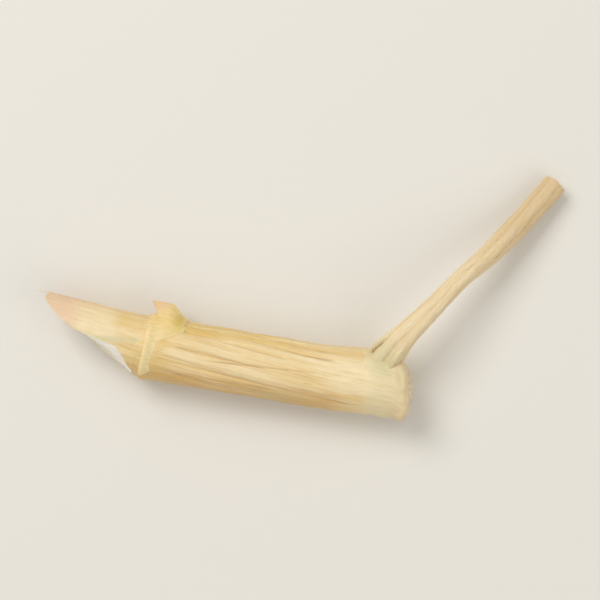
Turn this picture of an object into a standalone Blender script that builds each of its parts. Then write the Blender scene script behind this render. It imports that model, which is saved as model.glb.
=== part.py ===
"""Couch grass root: one cut piece of the dried creeping rhizome, lying on its side.

The stem piece has one long furrowed internode between two nodes. Its left end is a slanting
cut through a hollow internode, its right end is a blunt break just past the right node.
A torn scale leaf clasps the left node and a rootlet grows out of the right node.

Frame: metres, +Z up. The piece lies along X, and the origin is the middle of the flat spot
under the long internode that it rests on. Angles round the stem count from +Y over the top.
"""

import math

import bmesh
import bpy
from mathutils import Vector, noise

MM = 0.001
COLLECTION = "couch_grass_root"

# Stem: places along X and radii
LEFT_NODE_X = -3.87 * MM
RIGHT_NODE_X = 4.30 * MM
SHORT_INTERNODE_RADIUS = 1.02 * MM
LONG_INTERNODE_RADIUS = 1.09 * MM
NODE_LENGTH = 0.95 * MM
NODE_SWELLING = 0.02 * MM
LEFT_NODE_SLANT = -0.06
RIGHT_NODE_SLANT = 0.13

# Stem: course of its centre line
AXIS_HEIGHT = 1.01 * MM
NODE_LIFT = 0.05 * MM
LEFT_BEND_START_X = -3.6 * MM
LEFT_BEND_SLOPE = 0.075
RIGHT_BEND_START_X = 2.0 * MM
RIGHT_BEND = 0.12 * MM

# Stem: ring of the left node, and edge of the smooth sheath that wraps the right node
RING_HEIGHT = 0.075 * MM
RING_WIDTH = 0.16 * MM
SHEATH_EDGE_X = 3.62 * MM
SHEATH_STEP = 0.03 * MM
SHEATH_STEP_WIDTH = 0.12 * MM

# Stem: furrows that the drying left along it, turning slowly round the axis
RIB_COUNT = 13
RIB_DEPTH = 0.065 * MM
RIB_TWIST = math.radians(5.4) / MM
RIB_WANDER = ((2, 0.13, 0.9), (3, 0.08, 2.0))
RIB_UNEVENNESS = 0.28
RIB_FADE = 0.9 * MM
SHORT_INTERNODE_RIBS = 0.35
LUMP_HEIGHT = 0.03 * MM
LUMP_SIZE = 1.4 * MM

# Stem: slanting cut through the hollow left internode, blunt at its tip. The cut leans over
# towards the tip at the back and lies back at the front, where its face shows from above.
CUT_CENTRE_X = -5.98 * MM
CUT_CENTRE_Y = 0.08 * MM
CUT_SLOPE_Y = -1.66
CUT_BACK_Y = 0.35 * MM
CUT_BACK_LEAN = -0.10
CUT_FRONT_Y = -0.35 * MM
CUT_FRONT_LEAN = 0.36
CUT_TIP_START_Y = 0.60 * MM
CUT_TIP_BLUNTNESS = 1.05 / MM
HOLLOW_RADIUS = 0.40 * MM
HOLLOW_SHIFT = 0.14 * MM
HOLLOW_UNEVENNESS = ((3, 0.05, 0.7),)
HOLLOW_END_X = -4.60 * MM

# Stem: blunt broken end past the right node, its crown nearer the front
BREAK_START_X = 4.62 * MM
BREAK_LENGTH = 0.70 * MM
BREAK_SHIFT = -0.31 * MM
BREAK_BLUNTNESS = 0.6
BREAK_LUMPS = ((3, 0.06, 1.0), (7, 0.045, 0.4))

# Root scars: place along X, and angle round the stem in degrees
ROOT_SCARS = (
    (4.25 * MM, 205.0),
    (4.05 * MM, 312.0),
    (-3.44 * MM, 228.0),
)
SCAR_RADIUS = 0.24 * MM
SCAR_RIM = 0.075 * MM
SCAR_DIMPLE = 0.13 * MM

# Scale leaf: narrow torn collar over the stem, with an ear that stands out at the back
LEAF_GAP = 0.045 * MM
LEAF_FREE_ANGLE = math.radians(8.0)
LEAF_FAR_ANGLE = math.radians(166.0)
LEAF_BASE_OFFSET = 0.07 * MM
LEAF_BASE_THICKNESS = 0.17 * MM
LEAF_EDGE_THICKNESS = 0.10 * MM
COLLAR_LENGTH = 0.32 * MM
COLLAR_TEARS = ((9, 0.16, 0.5), (17, 0.10, 0.0))
EAR_HINGE_ANGLE = math.radians(58.0)
EAR_FULL_ANGLE = math.radians(42.0)
EAR_END_ANGLE = math.radians(84.0)
EAR_LENGTH = 0.80 * MM
EAR_LIFT = 0.49 * MM
EAR_RISE = 0.17
EAR_FALL = 0.85
EAR_FALL_START = 0.40
EAR_POINT = 0.47 * MM

# Rootlet: route from inside the right node to its cut tip on the surface
ROOTLET_ROUTE = (
    Vector((4.02, 0.62, 1.30)) * MM,
    Vector((4.62, 1.72, 1.72)) * MM,
    Vector((5.50, 2.95, 1.72)) * MM,
    Vector((6.29, 4.08, 1.45)) * MM,
    Vector((7.15, 5.10, 1.08)) * MM,
    Vector((8.08, 6.38, 0.68)) * MM,
    Vector((9.03, 7.84, 0.35)) * MM,
)
ROOTLET_RADIUS = 0.365 * MM
ROOTLET_GAP = 0.04 * MM
BASE_FLARE = 0.42
BASE_SHARE = 0.16
BASE_STRANDS = 3
BASE_STRAND_DEPTH = 0.55
BASE_STRAND_START = 1.1
GROOVE_COUNT = 5
GROOVE_DEPTH = 0.10
GROOVE_TURN = 1.2
WAVE_DEPTH = 0.10
WAVE_TURNS = 9.0
WAVE_START = 0.6
TIP_FLARE = 0.14
TIP_FLARE_SHARE = 0.86

# Fineness of the lofts: four columns to each rib put a vertex on each crest and furrow
STEM_COLUMNS = 4 * RIB_COUNT
ROOTLET_COLUMNS = 18
ROOTLET_ROWS = 32
LEAF_COLUMNS = 36
LEAF_ROWS = 9


def clear_scene():
    """Remove every object, so the file holds this part alone."""
    for item in list(bpy.data.objects):
        bpy.data.objects.remove(item, do_unlink=True)


def smooth_step(low, high, value):
    """Rise smoothly from 0 at low to 1 at high."""
    share = min(max((value - low) / (high - low), 0.0), 1.0)
    return share * share * (3.0 - 2.0 * share)


def bell(value, centre, width):
    """A smooth hill of height 1."""
    return math.exp(-((value - centre) / width) ** 2)


def waves(terms, angle):
    """Sum of sine waves round a section, each with its count, size and start."""
    return sum(size * math.sin(count * angle + start) for count, size, start in terms)


def linear_colour(red, green, blue):
    """Linear RGBA from sRGB values of 0 to 255."""
    channels = []
    for value in (red, green, blue):
        share = value / 255.0
        if share <= 0.04045:
            channels.append(share / 12.92)
        else:
            channels.append(((share + 0.055) / 1.055) ** 2.4)
    return (*channels, 1.0)


def plain_material(name, colour, roughness):
    """A Principled material of one colour."""
    material = bpy.data.materials.new(name)
    material.use_nodes = True
    shader = material.node_tree.nodes["Principled BSDF"]
    shader.inputs["Base Color"].default_value = colour
    shader.inputs["Roughness"].default_value = roughness
    shader.inputs["Metallic"].default_value = 0.0
    material.diffuse_color = colour
    return material


def add_object(name, shape, material, collection):
    """Turn a finished bmesh into an object of the part, shaded smooth between sharp edges."""
    bmesh.ops.recalc_face_normals(shape, faces=shape.faces)
    mesh = bpy.data.meshes.new(name)
    shape.to_mesh(mesh)
    shape.free()
    mesh.materials.append(material)
    mesh.shade_smooth()
    mesh.set_sharp_from_angle(angle=math.radians(45.0))
    collection.objects.link(bpy.data.objects.new(name, mesh))


def loft(first_pole, rings, last_pole):
    """Closed bmesh through rings of equal size, with a pole vertex at each end."""
    shape = bmesh.new()
    start = shape.verts.new(first_pole)
    end = shape.verts.new(last_pole)
    loops = [[shape.verts.new(point) for point in ring] for ring in rings]
    count = len(loops[0])
    for index in range(count):
        following = (index + 1) % count
        shape.faces.new((start, loops[0][index], loops[0][following]))
        shape.faces.new((end, loops[-1][following], loops[-1][index]))
        for near, far in zip(loops, loops[1:]):
            shape.faces.new((near[index], far[index], far[following], near[following]))
    return shape


def stem_centre(x):
    """Side and height of the stem's centre line, which bends back a little at both ends."""
    side = LEFT_BEND_SLOPE * max(LEFT_BEND_START_X - x, 0.0)
    side += RIGHT_BEND * smooth_step(RIGHT_BEND_START_X, RIGHT_NODE_X, x)
    raised = bell(x, RIGHT_NODE_X, NODE_LENGTH)
    raised += smooth_step(LEFT_NODE_X + NODE_LENGTH, LEFT_NODE_X - NODE_LENGTH, x)
    return side, AXIS_HEIGHT + NODE_LIFT * raised


def column_angle(x, phase):
    """Angle at which a lengthwise column of the stem stands at x: it keeps to one rib."""
    return phase + RIB_TWIST * x + waves(RIB_WANDER, phase)


def ribs(x, phase):
    """Height of the rounded ridges with narrow furrows between, fading out at the nodes."""
    ridge = abs(math.cos(0.5 * RIB_COUNT * phase)) - 2.0 / math.pi
    uneven = 1.0 - RIB_UNEVENNESS * (1.0 - math.sin(2.0 * phase + x / LUMP_SIZE))
    along = smooth_step(LEFT_NODE_X + 0.5 * RIB_FADE, LEFT_NODE_X + 1.5 * RIB_FADE, x)
    along *= 1.0 - smooth_step(SHEATH_EDGE_X - RIB_FADE, SHEATH_EDGE_X, x)
    along += SHORT_INTERNODE_RIBS * smooth_step(LEFT_NODE_X - RING_WIDTH, LEFT_NODE_X - RIB_FADE, x)
    return RIB_DEPTH * ridge * uneven * along


def scars(x, angle):
    """Small collars with a dimple, where roots once left the nodes."""
    height = 0.0
    for scar_x, scar_degrees in ROOT_SCARS:
        offset = angle - math.radians(scar_degrees)
        offset = math.atan2(math.sin(offset), math.cos(offset))
        distance = math.hypot(x - scar_x, offset * LONG_INTERNODE_RADIUS)
        rim = SCAR_RIM * bell(distance, SCAR_RADIUS, 0.45 * SCAR_RADIUS)
        dimple = SCAR_DIMPLE * bell(distance, 0.0, 0.45 * SCAR_RADIUS)
        height += rim - dimple
    return height


def smooth_radius(x, angle):
    """Outer radius of the stem without its ribs."""
    widening = smooth_step(LEFT_NODE_X - 0.5 * NODE_LENGTH, LEFT_NODE_X + 0.5 * NODE_LENGTH, x)
    radius = SHORT_INTERNODE_RADIUS + (LONG_INTERNODE_RADIUS - SHORT_INTERNODE_RADIUS) * widening
    radius += NODE_SWELLING * bell(x, RIGHT_NODE_X, NODE_LENGTH)
    radius += RING_HEIGHT * bell(x, LEFT_NODE_X, RING_WIDTH)
    radius += SHEATH_STEP * smooth_step(SHEATH_EDGE_X - SHEATH_STEP_WIDTH, SHEATH_EDGE_X, x)
    place = Vector((x, math.cos(angle) * radius, math.sin(angle) * radius)) / LUMP_SIZE
    return radius + LUMP_HEIGHT * noise.noise(place) + scars(x, angle)


def ribbed_radius(x, phase):
    """Outer radius of the stem in one of its columns."""
    return smooth_radius(x, column_angle(x, phase)) + ribs(x, phase)


def node_slant(x):
    """How far the stem's sections lean at x, from the slant of one node to that of the other."""
    share = smooth_step(LEFT_NODE_X, RIGHT_NODE_X, x)
    return LEFT_NODE_SLANT + (RIGHT_NODE_SLANT - LEFT_NODE_SLANT) * share


def stem_point(x, angle, radius, shift=0.0):
    """Point of the stem's section at x, leaned by the nodes' slant and flat where it rests."""
    side, height = stem_centre(x)
    across = radius * math.cos(angle)
    up = max(height + radius * math.sin(angle), 0.0)
    return Vector((x - node_slant(x) * across, side + across + shift, up))


def hollow_radius(x, phase):
    """Radius of the pith hollow, the same all along and a little uneven round it."""
    return HOLLOW_RADIUS * (1.0 + waves(HOLLOW_UNEVENNESS, phase))


def wall_middle(x, phase):
    """Radius halfway through the wall, for the cut face."""
    return 0.5 * (ribbed_radius(x, phase) + hollow_radius(x, phase))


def cut_x(y, z):
    """Place of the slanting cut's face along X at a place across and a height."""
    lean = smooth_step(CUT_BACK_Y, CUT_FRONT_Y, y)
    lean = CUT_BACK_LEAN + (CUT_FRONT_LEAN - CUT_BACK_LEAN) * lean
    blunting = CUT_TIP_BLUNTNESS * max(y - CUT_TIP_START_Y, 0.0) ** 2
    return CUT_CENTRE_X + CUT_SLOPE_Y * (y - CUT_CENTRE_Y) + lean * (z - AXIS_HEIGHT) + blunting


def cut_station(phase, wall_radius, shift=0.0):
    """Place along the stem where a column of its wall meets the slanting cut."""
    x = CUT_CENTRE_X
    for _ in range(12):
        point = stem_point(x, column_angle(x, phase), wall_radius(x, phase), shift)
        x += cut_x(point.y, point.z) - point.x
    return x


def stem_phases():
    """The stem's lengthwise columns."""
    return [math.tau * index / STEM_COLUMNS for index in range(STEM_COLUMNS)]


def stem_ring(places, wall_radius, scale=1.0, shift=0.0):
    """Ring of the stem with its own place along the stem for each column."""
    ring = []
    for x, phase in zip(places, stem_phases()):
        ring.append(stem_point(x, column_angle(x, phase), scale * wall_radius(x, phase), shift))
    return ring


def hollow_rings():
    """Rings from the floor of the hollow out to its mouth."""
    floor = [HOLLOW_END_X] * STEM_COLUMNS
    mouth = [cut_station(phase, hollow_radius, HOLLOW_SHIFT) for phase in stem_phases()]
    rings = [stem_ring(floor, hollow_radius, share, HOLLOW_SHIFT) for share in (0.35, 0.75)]
    for share in (0.06, 0.3, 0.65, 1.0):
        places = [start + share * (end - start) for start, end in zip(floor, mouth)]
        rings.append(stem_ring(places, hollow_radius, shift=HOLLOW_SHIFT))
    return rings


def short_internode_rings():
    """Cut face and outside of the short internode, from the cut to just before the ring."""
    middle_shift = 0.5 * HOLLOW_SHIFT
    middle = [cut_station(phase, wall_middle, middle_shift) for phase in stem_phases()]
    node_start = LEFT_NODE_X - 2.0 * RING_WIDTH
    cut = [min(cut_station(phase, ribbed_radius), node_start) for phase in stem_phases()]
    rings = [stem_ring(middle, wall_middle, shift=middle_shift)]
    for share in (0.0, 0.12, 0.3, 0.5, 0.7, 0.87):
        rings.append(stem_ring([start + share * (node_start - start) for start in cut], ribbed_radius))
    return rings


def stations(start, end, count):
    """Evenly spaced places from start up to, but not at, end."""
    return [start + (end - start) * index / count for index in range(count)]


def long_rings():
    """Outside of the stem from the left node to where the right end breaks off."""
    ring_start = LEFT_NODE_X - 2.0 * RING_WIDTH
    ring_end = LEFT_NODE_X + 0.8 * NODE_LENGTH
    sheath_start = SHEATH_EDGE_X - 0.20 * MM
    places = stations(ring_start, ring_end, 11)
    places += stations(ring_end, sheath_start, 14)
    places += stations(sheath_start, BREAK_START_X, 12)
    return [stem_ring([x] * STEM_COLUMNS, ribbed_radius) for x in places]


def break_rings():
    """Blunt, lumpy dome of the broken right end, its crown shifted to the front."""
    rings = []
    for degrees in (0.0, 17.0, 34.0, 50.0, 64.0, 77.0):
        rise = math.sin(math.radians(degrees))
        narrowing = math.cos(math.radians(degrees)) ** BREAK_BLUNTNESS
        x = BREAK_START_X + BREAK_LENGTH * rise
        ring = []
        for phase in stem_phases():
            radius = smooth_radius(x, phase) * narrowing * (1.0 + rise * waves(BREAK_LUMPS, phase))
            ring.append(stem_point(x, column_angle(x, phase), radius, shift=BREAK_SHIFT * rise))
        rings.append(ring)
    return rings


def make_rhizome(collection):
    """The stem piece: cut hollow internode, ring node, furrowed internode, right node and break."""
    floor = stem_point(HOLLOW_END_X, 0.0, 0.0, HOLLOW_SHIFT)
    crown = stem_point(BREAK_START_X + BREAK_LENGTH, 0.0, 0.0, shift=BREAK_SHIFT)
    shape = loft(floor, hollow_rings() + short_internode_rings() + long_rings() + break_rings(), crown)
    material = plain_material("dried rhizome", linear_colour(233, 213, 164), 0.5)
    add_object("rhizome", shape, material, collection)


def leaf_point(angle, share, depth):
    """Point of the leaf at an angle, a share of its length, and a depth from inside to outside."""
    ear = 1.0 - smooth_step(EAR_FULL_ANGLE, EAR_END_ANGLE, angle)
    length = COLLAR_LENGTH * (1.0 + waves(COLLAR_TEARS, angle)) + EAR_LENGTH * ear
    outward = max((EAR_HINGE_ANGLE - angle) / (EAR_HINGE_ANGLE - LEAF_FREE_ANGLE), 0.0)
    opening = smooth_step(0.0, EAR_RISE, share) * (1.0 - EAR_FALL * smooth_step(EAR_FALL_START, 1.0, share))
    raised = EAR_LIFT * outward ** 1.3 * opening
    point_lean = EAR_POINT * outward ** 2 * bell(share, 1.3 * EAR_RISE, 0.6 * EAR_RISE)
    x = LEFT_NODE_X + LEAF_BASE_OFFSET + share * length
    thickness = LEAF_BASE_THICKNESS + (LEAF_EDGE_THICKNESS - LEAF_BASE_THICKNESS) * share
    point = stem_point(x, angle, smooth_radius(x, angle) + LEAF_GAP + raised + depth * thickness)
    point.x -= point_lean
    return point


def make_scale_leaf(collection):
    """Torn scale leaf: a thin closed blade that clasps the node's ring, its ear lifted off."""
    shape = bmesh.new()
    sheets = []
    for depth in (0.0, 1.0):
        sheet = []
        for column in range(LEAF_COLUMNS + 1):
            angle = LEAF_FREE_ANGLE + (LEAF_FAR_ANGLE - LEAF_FREE_ANGLE) * (column / LEAF_COLUMNS) ** 1.5
            shares = [(row / LEAF_ROWS) ** 1.3 for row in range(LEAF_ROWS + 1)]
            sheet.append([shape.verts.new(leaf_point(angle, share, depth)) for share in shares])
        sheets.append(sheet)
    inner, outer = sheets
    for column in range(LEAF_COLUMNS):
        for row in range(LEAF_ROWS):
            for sheet in sheets:
                corners = (sheet[column][row], sheet[column + 1][row])
                shape.faces.new((*corners, sheet[column + 1][row + 1], sheet[column][row + 1]))
        for row in (0, LEAF_ROWS):
            corners = (inner[column][row], inner[column + 1][row])
            shape.faces.new((*corners, outer[column + 1][row], outer[column][row]))
    for row in range(LEAF_ROWS):
        for column in (0, LEAF_COLUMNS):
            corners = (inner[column][row], inner[column][row + 1])
            shape.faces.new((*corners, outer[column][row + 1], outer[column][row]))
    material = plain_material("dry scale leaf", linear_colour(226, 200, 138), 0.6)
    add_object("scale_leaf", shape, material, collection)


def route_point(share):
    """Point of the rootlet's smooth route (Catmull-Rom) at a share of its length."""
    spans = len(ROOTLET_ROUTE) - 1
    place = min(max(share, 0.0), 1.0) * spans
    index = min(int(place), spans - 1)
    local = place - index
    before = ROOTLET_ROUTE[max(index - 1, 0)]
    start = ROOTLET_ROUTE[index]
    end = ROOTLET_ROUTE[index + 1]
    after = ROOTLET_ROUTE[min(index + 2, spans)]
    pull = (end - before) * local + (2.0 * before - 5.0 * start + 4.0 * end - after) * local ** 2
    pull += (3.0 * start - before - 3.0 * end + after) * local ** 3
    return start + 0.5 * pull


def rootlet_point(share, angle, scale):
    """Point of the rootlet: grooved along its length, its base spread into strands."""
    nearby = 0.004
    forward = (route_point(share + nearby) - route_point(share - nearby)).normalized()
    across = forward.cross(Vector((0.0, 0.0, 1.0))).normalized()
    upward = across.cross(forward)
    base = bell(share, 0.0, BASE_SHARE)
    strands = BASE_STRAND_DEPTH * math.cos(BASE_STRANDS * angle + BASE_STRAND_START)
    groove = abs(math.cos(0.5 * GROOVE_COUNT * (angle + GROOVE_TURN * share))) ** 3
    radius = ROOTLET_RADIUS * (1.0 + BASE_FLARE * base * (1.0 + strands))
    radius *= 1.0 - GROOVE_DEPTH * (1.0 - base) * groove
    widening = TIP_FLARE * smooth_step(TIP_FLARE_SHARE, 1.0, share)
    radius *= 1.0 + WAVE_DEPTH * math.sin(WAVE_TURNS * share + WAVE_START) + widening
    point = route_point(share) + scale * radius * (across * math.cos(angle) + upward * math.sin(angle))
    point.z = max(point.z, 0.0)
    return point


def clearance(point):
    """Distance of a point from the stem's surface, measured across the stem."""
    x = point.x
    for _ in range(3):
        side, height = stem_centre(x)
        x = point.x + node_slant(x) * (point.y - side)
    side, height = stem_centre(x)
    angle = math.atan2(point.z - height, point.y - side)
    return math.hypot(point.y - side, point.z - height) - smooth_radius(x, angle)


def leaving_share(angle, scale):
    """Share of the route where the rootlet's line at this angle leaves the stem."""
    inside = 0.0
    outside = 0.4
    for _ in range(24):
        middle = 0.5 * (inside + outside)
        if clearance(rootlet_point(middle, angle, scale)) < ROOTLET_GAP:
            inside = middle
        else:
            outside = middle
    return outside


def make_rootlet(collection):
    """Rootlet: a shrivelled cord that stands on the right node and comes down to the surface."""
    angles = [math.tau * index / ROOTLET_COLUMNS for index in range(ROOTLET_COLUMNS)]
    rings = []
    for scale in (0.35, 0.7):
        rings.append([rootlet_point(leaving_share(a, scale), a, scale) for a in angles])
    starts = [leaving_share(angle, 1.0) for angle in angles]
    for row in range(ROOTLET_ROWS + 1):
        along = (row / ROOTLET_ROWS) ** 1.2
        rings.append([rootlet_point(s + (1.0 - s) * along, a, 1.0) for s, a in zip(starts, angles)])
    rings.append([rootlet_point(1.0, a, 0.5) for a in angles])
    base = rootlet_point(leaving_share(0.0, 0.0), 0.0, 0.0)
    material = plain_material("dried rootlet", linear_colour(220, 196, 148), 0.65)
    add_object("rootlet", loft(base, rings, route_point(1.0)), material, collection)


def main():
    """Build the three pieces in one collection."""
    clear_scene()
    collection = bpy.data.collections.new(COLLECTION)
    bpy.context.scene.collection.children.link(collection)
    make_rhizome(collection)
    make_scale_leaf(collection)
    make_rootlet(collection)


main()
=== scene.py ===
import math
import random

import bpy
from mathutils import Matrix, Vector, noise


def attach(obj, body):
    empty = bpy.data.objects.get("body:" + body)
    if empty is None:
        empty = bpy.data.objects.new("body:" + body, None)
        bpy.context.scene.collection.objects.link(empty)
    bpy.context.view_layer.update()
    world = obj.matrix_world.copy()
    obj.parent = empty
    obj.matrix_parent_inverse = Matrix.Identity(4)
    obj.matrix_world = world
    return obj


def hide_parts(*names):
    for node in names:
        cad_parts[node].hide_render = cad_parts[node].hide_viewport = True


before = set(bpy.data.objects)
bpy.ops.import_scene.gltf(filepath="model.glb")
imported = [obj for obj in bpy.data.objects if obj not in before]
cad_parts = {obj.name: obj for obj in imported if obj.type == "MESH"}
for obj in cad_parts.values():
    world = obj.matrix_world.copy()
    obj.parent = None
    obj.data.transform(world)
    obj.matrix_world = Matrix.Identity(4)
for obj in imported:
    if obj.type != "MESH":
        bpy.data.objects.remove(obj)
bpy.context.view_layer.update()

# Furrowed stem. One cut piece of the creeping rhizome: a hollow grass stem, pale straw outside
# and whiter within, that shrank and furrowed lengthwise as it dried. Its left end was chopped on
# a slant and its right end broke off just past a node. All of it grew as one piece.
MM = 0.001

# Places along X and radii, as in the solid that this piece stands for
LEFT_NODE_X = -3.87 * MM
RIGHT_NODE_X = 4.30 * MM
SHORT_INTERNODE_RADIUS = 1.02 * MM
LONG_INTERNODE_RADIUS = 1.09 * MM
NODE_LENGTH = 0.95 * MM
NODE_SWELLING = 0.02 * MM
LEFT_NODE_SLANT = -0.06
RIGHT_NODE_SLANT = 0.13

# Course of the centre line
AXIS_HEIGHT = 1.01 * MM
NODE_LIFT = 0.05 * MM
LEFT_BEND_START_X = -3.6 * MM
LEFT_BEND_SLOPE = 0.075
RIGHT_BEND_START_X = 2.0 * MM
RIGHT_BEND = 0.12 * MM

# Ring of the left node, faint creases before it, and the edge of the sheath on the right node
RING_HEIGHT = 0.075 * MM
RING_WIDTH = 0.16 * MM
RING_UNEVENNESS = 0.30
NODE_START = LEFT_NODE_X - 2.0 * RING_WIDTH
CREASES = ((-0.42 * MM, 0.007 * MM), (-0.58 * MM, 0.005 * MM))
CREASE_WIDTH = 0.035 * MM
CREASE_WAVER = 0.05 * MM
SHEATH_EDGE_X = 3.62 * MM
SHEATH_STEP = 0.034 * MM
SHEATH_STEP_WIDTH = 0.07 * MM
SHEATH_RAGGEDNESS = 0.05 * MM
SHEATH_STEP_DEGREES = 82.0

# Ridges and furrows that the drying left, each a little uneven and wandering
RIB_COUNT = 13
RIB_DEPTH = 0.052 * MM
RIB_TWIST = math.radians(5.4) / MM
RIB_WANDER = ((2, 0.13, 0.9), (3, 0.08, 2.0))
RIB_UNEVENNESS = 0.28
RIB_FADE = 0.9 * MM
RIB_DRIFT = 0.10
RIB_DRIFT_LENGTH = 2.6 * MM
RIB_PATCH_WIDTH = 0.45 * MM
RIB_PATCH_LENGTH = 3.2 * MM
FURROW_LINE_DEPTH = 0.014 * MM
SHORT_INTERNODE_RIBS = 0.35
LUMP_HEIGHT = 0.03 * MM
LUMP_SIZE = 1.4 * MM
WRINKLE_HEIGHT = 0.018 * MM
WRINKLE_SIZE = 0.34 * MM
SMOOTH_PATCH_X = 3.15 * MM
SMOOTH_PATCH_REACH = 0.90 * MM

# Fine lengthwise lines between the furrows: height, width and length of each kind
STREAKS = (
    (0.015 * MM, 0.14 * MM, 2.2 * MM),
    (0.013 * MM, 0.07 * MM, 3.0 * MM),
)

# Single lines in the skin: where each starts and ends along X and in degrees round the stem, its
# width in degrees, and how far it stands up or is sunk
DARK_LINES = (
    (-1.80 * MM, 95.0, 1.90 * MM, 85.0, 1.8, -0.020 * MM),
    (-2.40 * MM, 128.0, 0.60 * MM, 132.0, 1.6, -0.014 * MM),
    (0.60 * MM, 52.0, 2.60 * MM, 56.0, 1.4, -0.012 * MM),
)
# The bright lines carry painted highlights along their slightly raised crests
BRIGHT_LINES = (
    (-2.60 * MM, 28.0, 3.20 * MM, 22.0, 3.5, 0.012 * MM),
    (-1.60 * MM, 58.0, 2.90 * MM, 80.0, 4.5, 0.016 * MM),
    (-1.20 * MM, 102.0, 2.40 * MM, 119.0, 4.0, 0.016 * MM),
)
GREEN_LINES = ((-5.75 * MM, 97.0, -4.05 * MM, 79.0, 5.0, -0.006 * MM),)

# Soft patches of colour on the skin: place and reach along X, the direction that each faces in
# degrees, how closely it keeps to that, and its strength
OCHRE_PATCHES = ((-2.1 * MM, 0.9 * MM, 38.0, 0.80, 0.60),)
GREEN_PATCHES = (
    (4.15 * MM, 0.45 * MM, 52.0, 0.80, 0.90),
    (0.6 * MM, 1.0 * MM, 150.0, 0.80, 0.50),
)
GOLD_PATCHES = (
    (-2.4 * MM, 0.75 * MM, 36.0, 0.85, 0.60),
    (-0.3 * MM, 2.8 * MM, 20.0, 0.75, 0.75),
    (-4.9 * MM, 0.45 * MM, 40.0, 0.75, 0.60),
)

# Slanting cut through the hollow left internode. It leans over at the back and lies back at the
# front, where the skin tore back from it and shows the white wall.
CUT_CENTRE_X = -5.98 * MM
CUT_CENTRE_Y = 0.08 * MM
CUT_SLOPE_Y = -1.66
CUT_BACK_Y = 0.35 * MM
CUT_BACK_LEAN = -0.10
CUT_FRONT_Y = -0.35 * MM
CUT_FRONT_LEAN = 0.36
CUT_TIP_START_Y = 0.60 * MM
CUT_TIP_BLUNTNESS = 1.05 / MM
CUT_CHIPPING = 0.035 * MM
CUT_CHIP_SIZE = 0.17 * MM
CUT_ROUGHNESS = 0.016 * MM
CUT_ROUGHNESS_SIZE = 0.09 * MM
CUT_FITTING_ROUNDS = 9
PEEL_LENGTH = 0.44 * MM
PEEL_TAPER = 0.50
PEEL_START = 0.60
PEEL_FADE = 0.7 * MM
HOLLOW_RADIUS = 0.40 * MM
HOLLOW_SHIFT = 0.14 * MM
HOLLOW_UNEVENNESS = ((3, 0.05, 0.7), (8, 0.03, 0.2), (19, 0.022, 1.0))
HOLLOW_END_X = -4.60 * MM

# Blunt broken end past the right node
BREAK_START_X = 4.62 * MM
BREAK_LENGTH = 0.70 * MM
BREAK_SHIFT = -0.31 * MM
BREAK_BLUNTNESS = 0.6
BREAK_LUMPS = ((3, 0.06, 1.0), (7, 0.045, 0.4))
BREAK_KNOBS = ((0.40 * MM, 0.095 * MM), (0.20 * MM, 0.026 * MM))
BREAK_CRUMB_SIZE = 0.10 * MM
BREAK_CRUMB_HEIGHT = 0.015 * MM
BREAK_RAW_RISE = 0.80
BREAK_RAW_DROP = 0.03 * MM
BREAK_FRONT_ROUNDING = 0.95 * MM
BREAK_ROWS = 28
BREAK_LAST_ROW_DEGREES = 88.0

# Scars where roots once left the nodes: place along X, angle round the stem in degrees
ROOT_SCARS = ((4.25 * MM, 205.0), (4.05 * MM, 312.0), (-3.44 * MM, 228.0))
SCAR_RADIUS = 0.24 * MM
SCAR_RIM = 0.075 * MM
SCAR_DIMPLE = 0.13 * MM

# Fineness: 24 columns to each rib
STEM_COLUMNS = 24 * RIB_COUNT
STEM_PHASES = [math.tau * index / STEM_COLUMNS for index in range(STEM_COLUMNS)]


def smooth_step(low, high, value):
    """Rise smoothly from 0 at low to 1 at high."""
    share = min(max((value - low) / (high - low), 0.0), 1.0)
    return share * share * (3.0 - 2.0 * share)


def bell(value, centre, width):
    """A smooth hill of height 1."""
    return math.exp(-((value - centre) / width) ** 2)


def waves(terms, angle):
    """Sum of sine waves round a section, each with its count, size and start."""
    return sum(size * math.sin(count * angle + start) for count, size, start in terms)


def grain(x, phase):
    """Place in the unrolled skin, which runs along the ribs: patterns read it to follow them."""
    return Vector((LONG_INTERNODE_RADIUS * math.cos(phase), LONG_INTERNODE_RADIUS * math.sin(phase), x))


def grain_noise(x, phase, across, along):
    """Noise from -1 to 1 that is drawn out along the ribs."""
    place = grain(x, phase)
    return noise.noise(Vector((place.x / across, place.y / across, place.z / along)))


def stem_centre(x):
    """Side and height of the stem's centre line."""
    side = LEFT_BEND_SLOPE * max(LEFT_BEND_START_X - x, 0.0)
    side += RIGHT_BEND * smooth_step(RIGHT_BEND_START_X, RIGHT_NODE_X, x)
    raised = bell(x, RIGHT_NODE_X, NODE_LENGTH)
    raised += smooth_step(LEFT_NODE_X + NODE_LENGTH, LEFT_NODE_X - NODE_LENGTH, x)
    return side, AXIS_HEIGHT + NODE_LIFT * raised


def column_angle(x, phase):
    """Angle at which a lengthwise column of the stem stands at x: it keeps to one rib."""
    return phase + RIB_TWIST * x + waves(RIB_WANDER, phase)


def facing(angle, degrees):
    """1 where the skin faces the given direction round the stem, -1 on the far side."""
    return math.cos(angle - math.radians(degrees))


def on_lines(x, angle, lines):
    """How fully a place lies on one of the lines, and how far the lines raise the skin there."""
    degrees = math.degrees(math.atan2(math.sin(angle), math.cos(angle)))
    cover, height = 0.0, 0.0
    for start_x, start_degrees, end_x, end_degrees, width, rise in lines:
        share = (x - start_x) / (end_x - start_x)
        place = start_degrees + (end_degrees - start_degrees) * share
        line = bell(degrees, place, width) * smooth_step(-0.1, 0.15, share) * smooth_step(1.1, 0.85, share)
        cover = max(cover, line)
        height += line * rise
    return cover, height


def on_patches(x, angle, patches):
    """How strongly soft patches of colour lie on a place of the skin."""
    return sum(
        strength * bell(x, centre, reach) * smooth_step(closeness, 1.0, facing(angle, degrees))
        for centre, reach, degrees, closeness, strength in patches
    )


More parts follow.
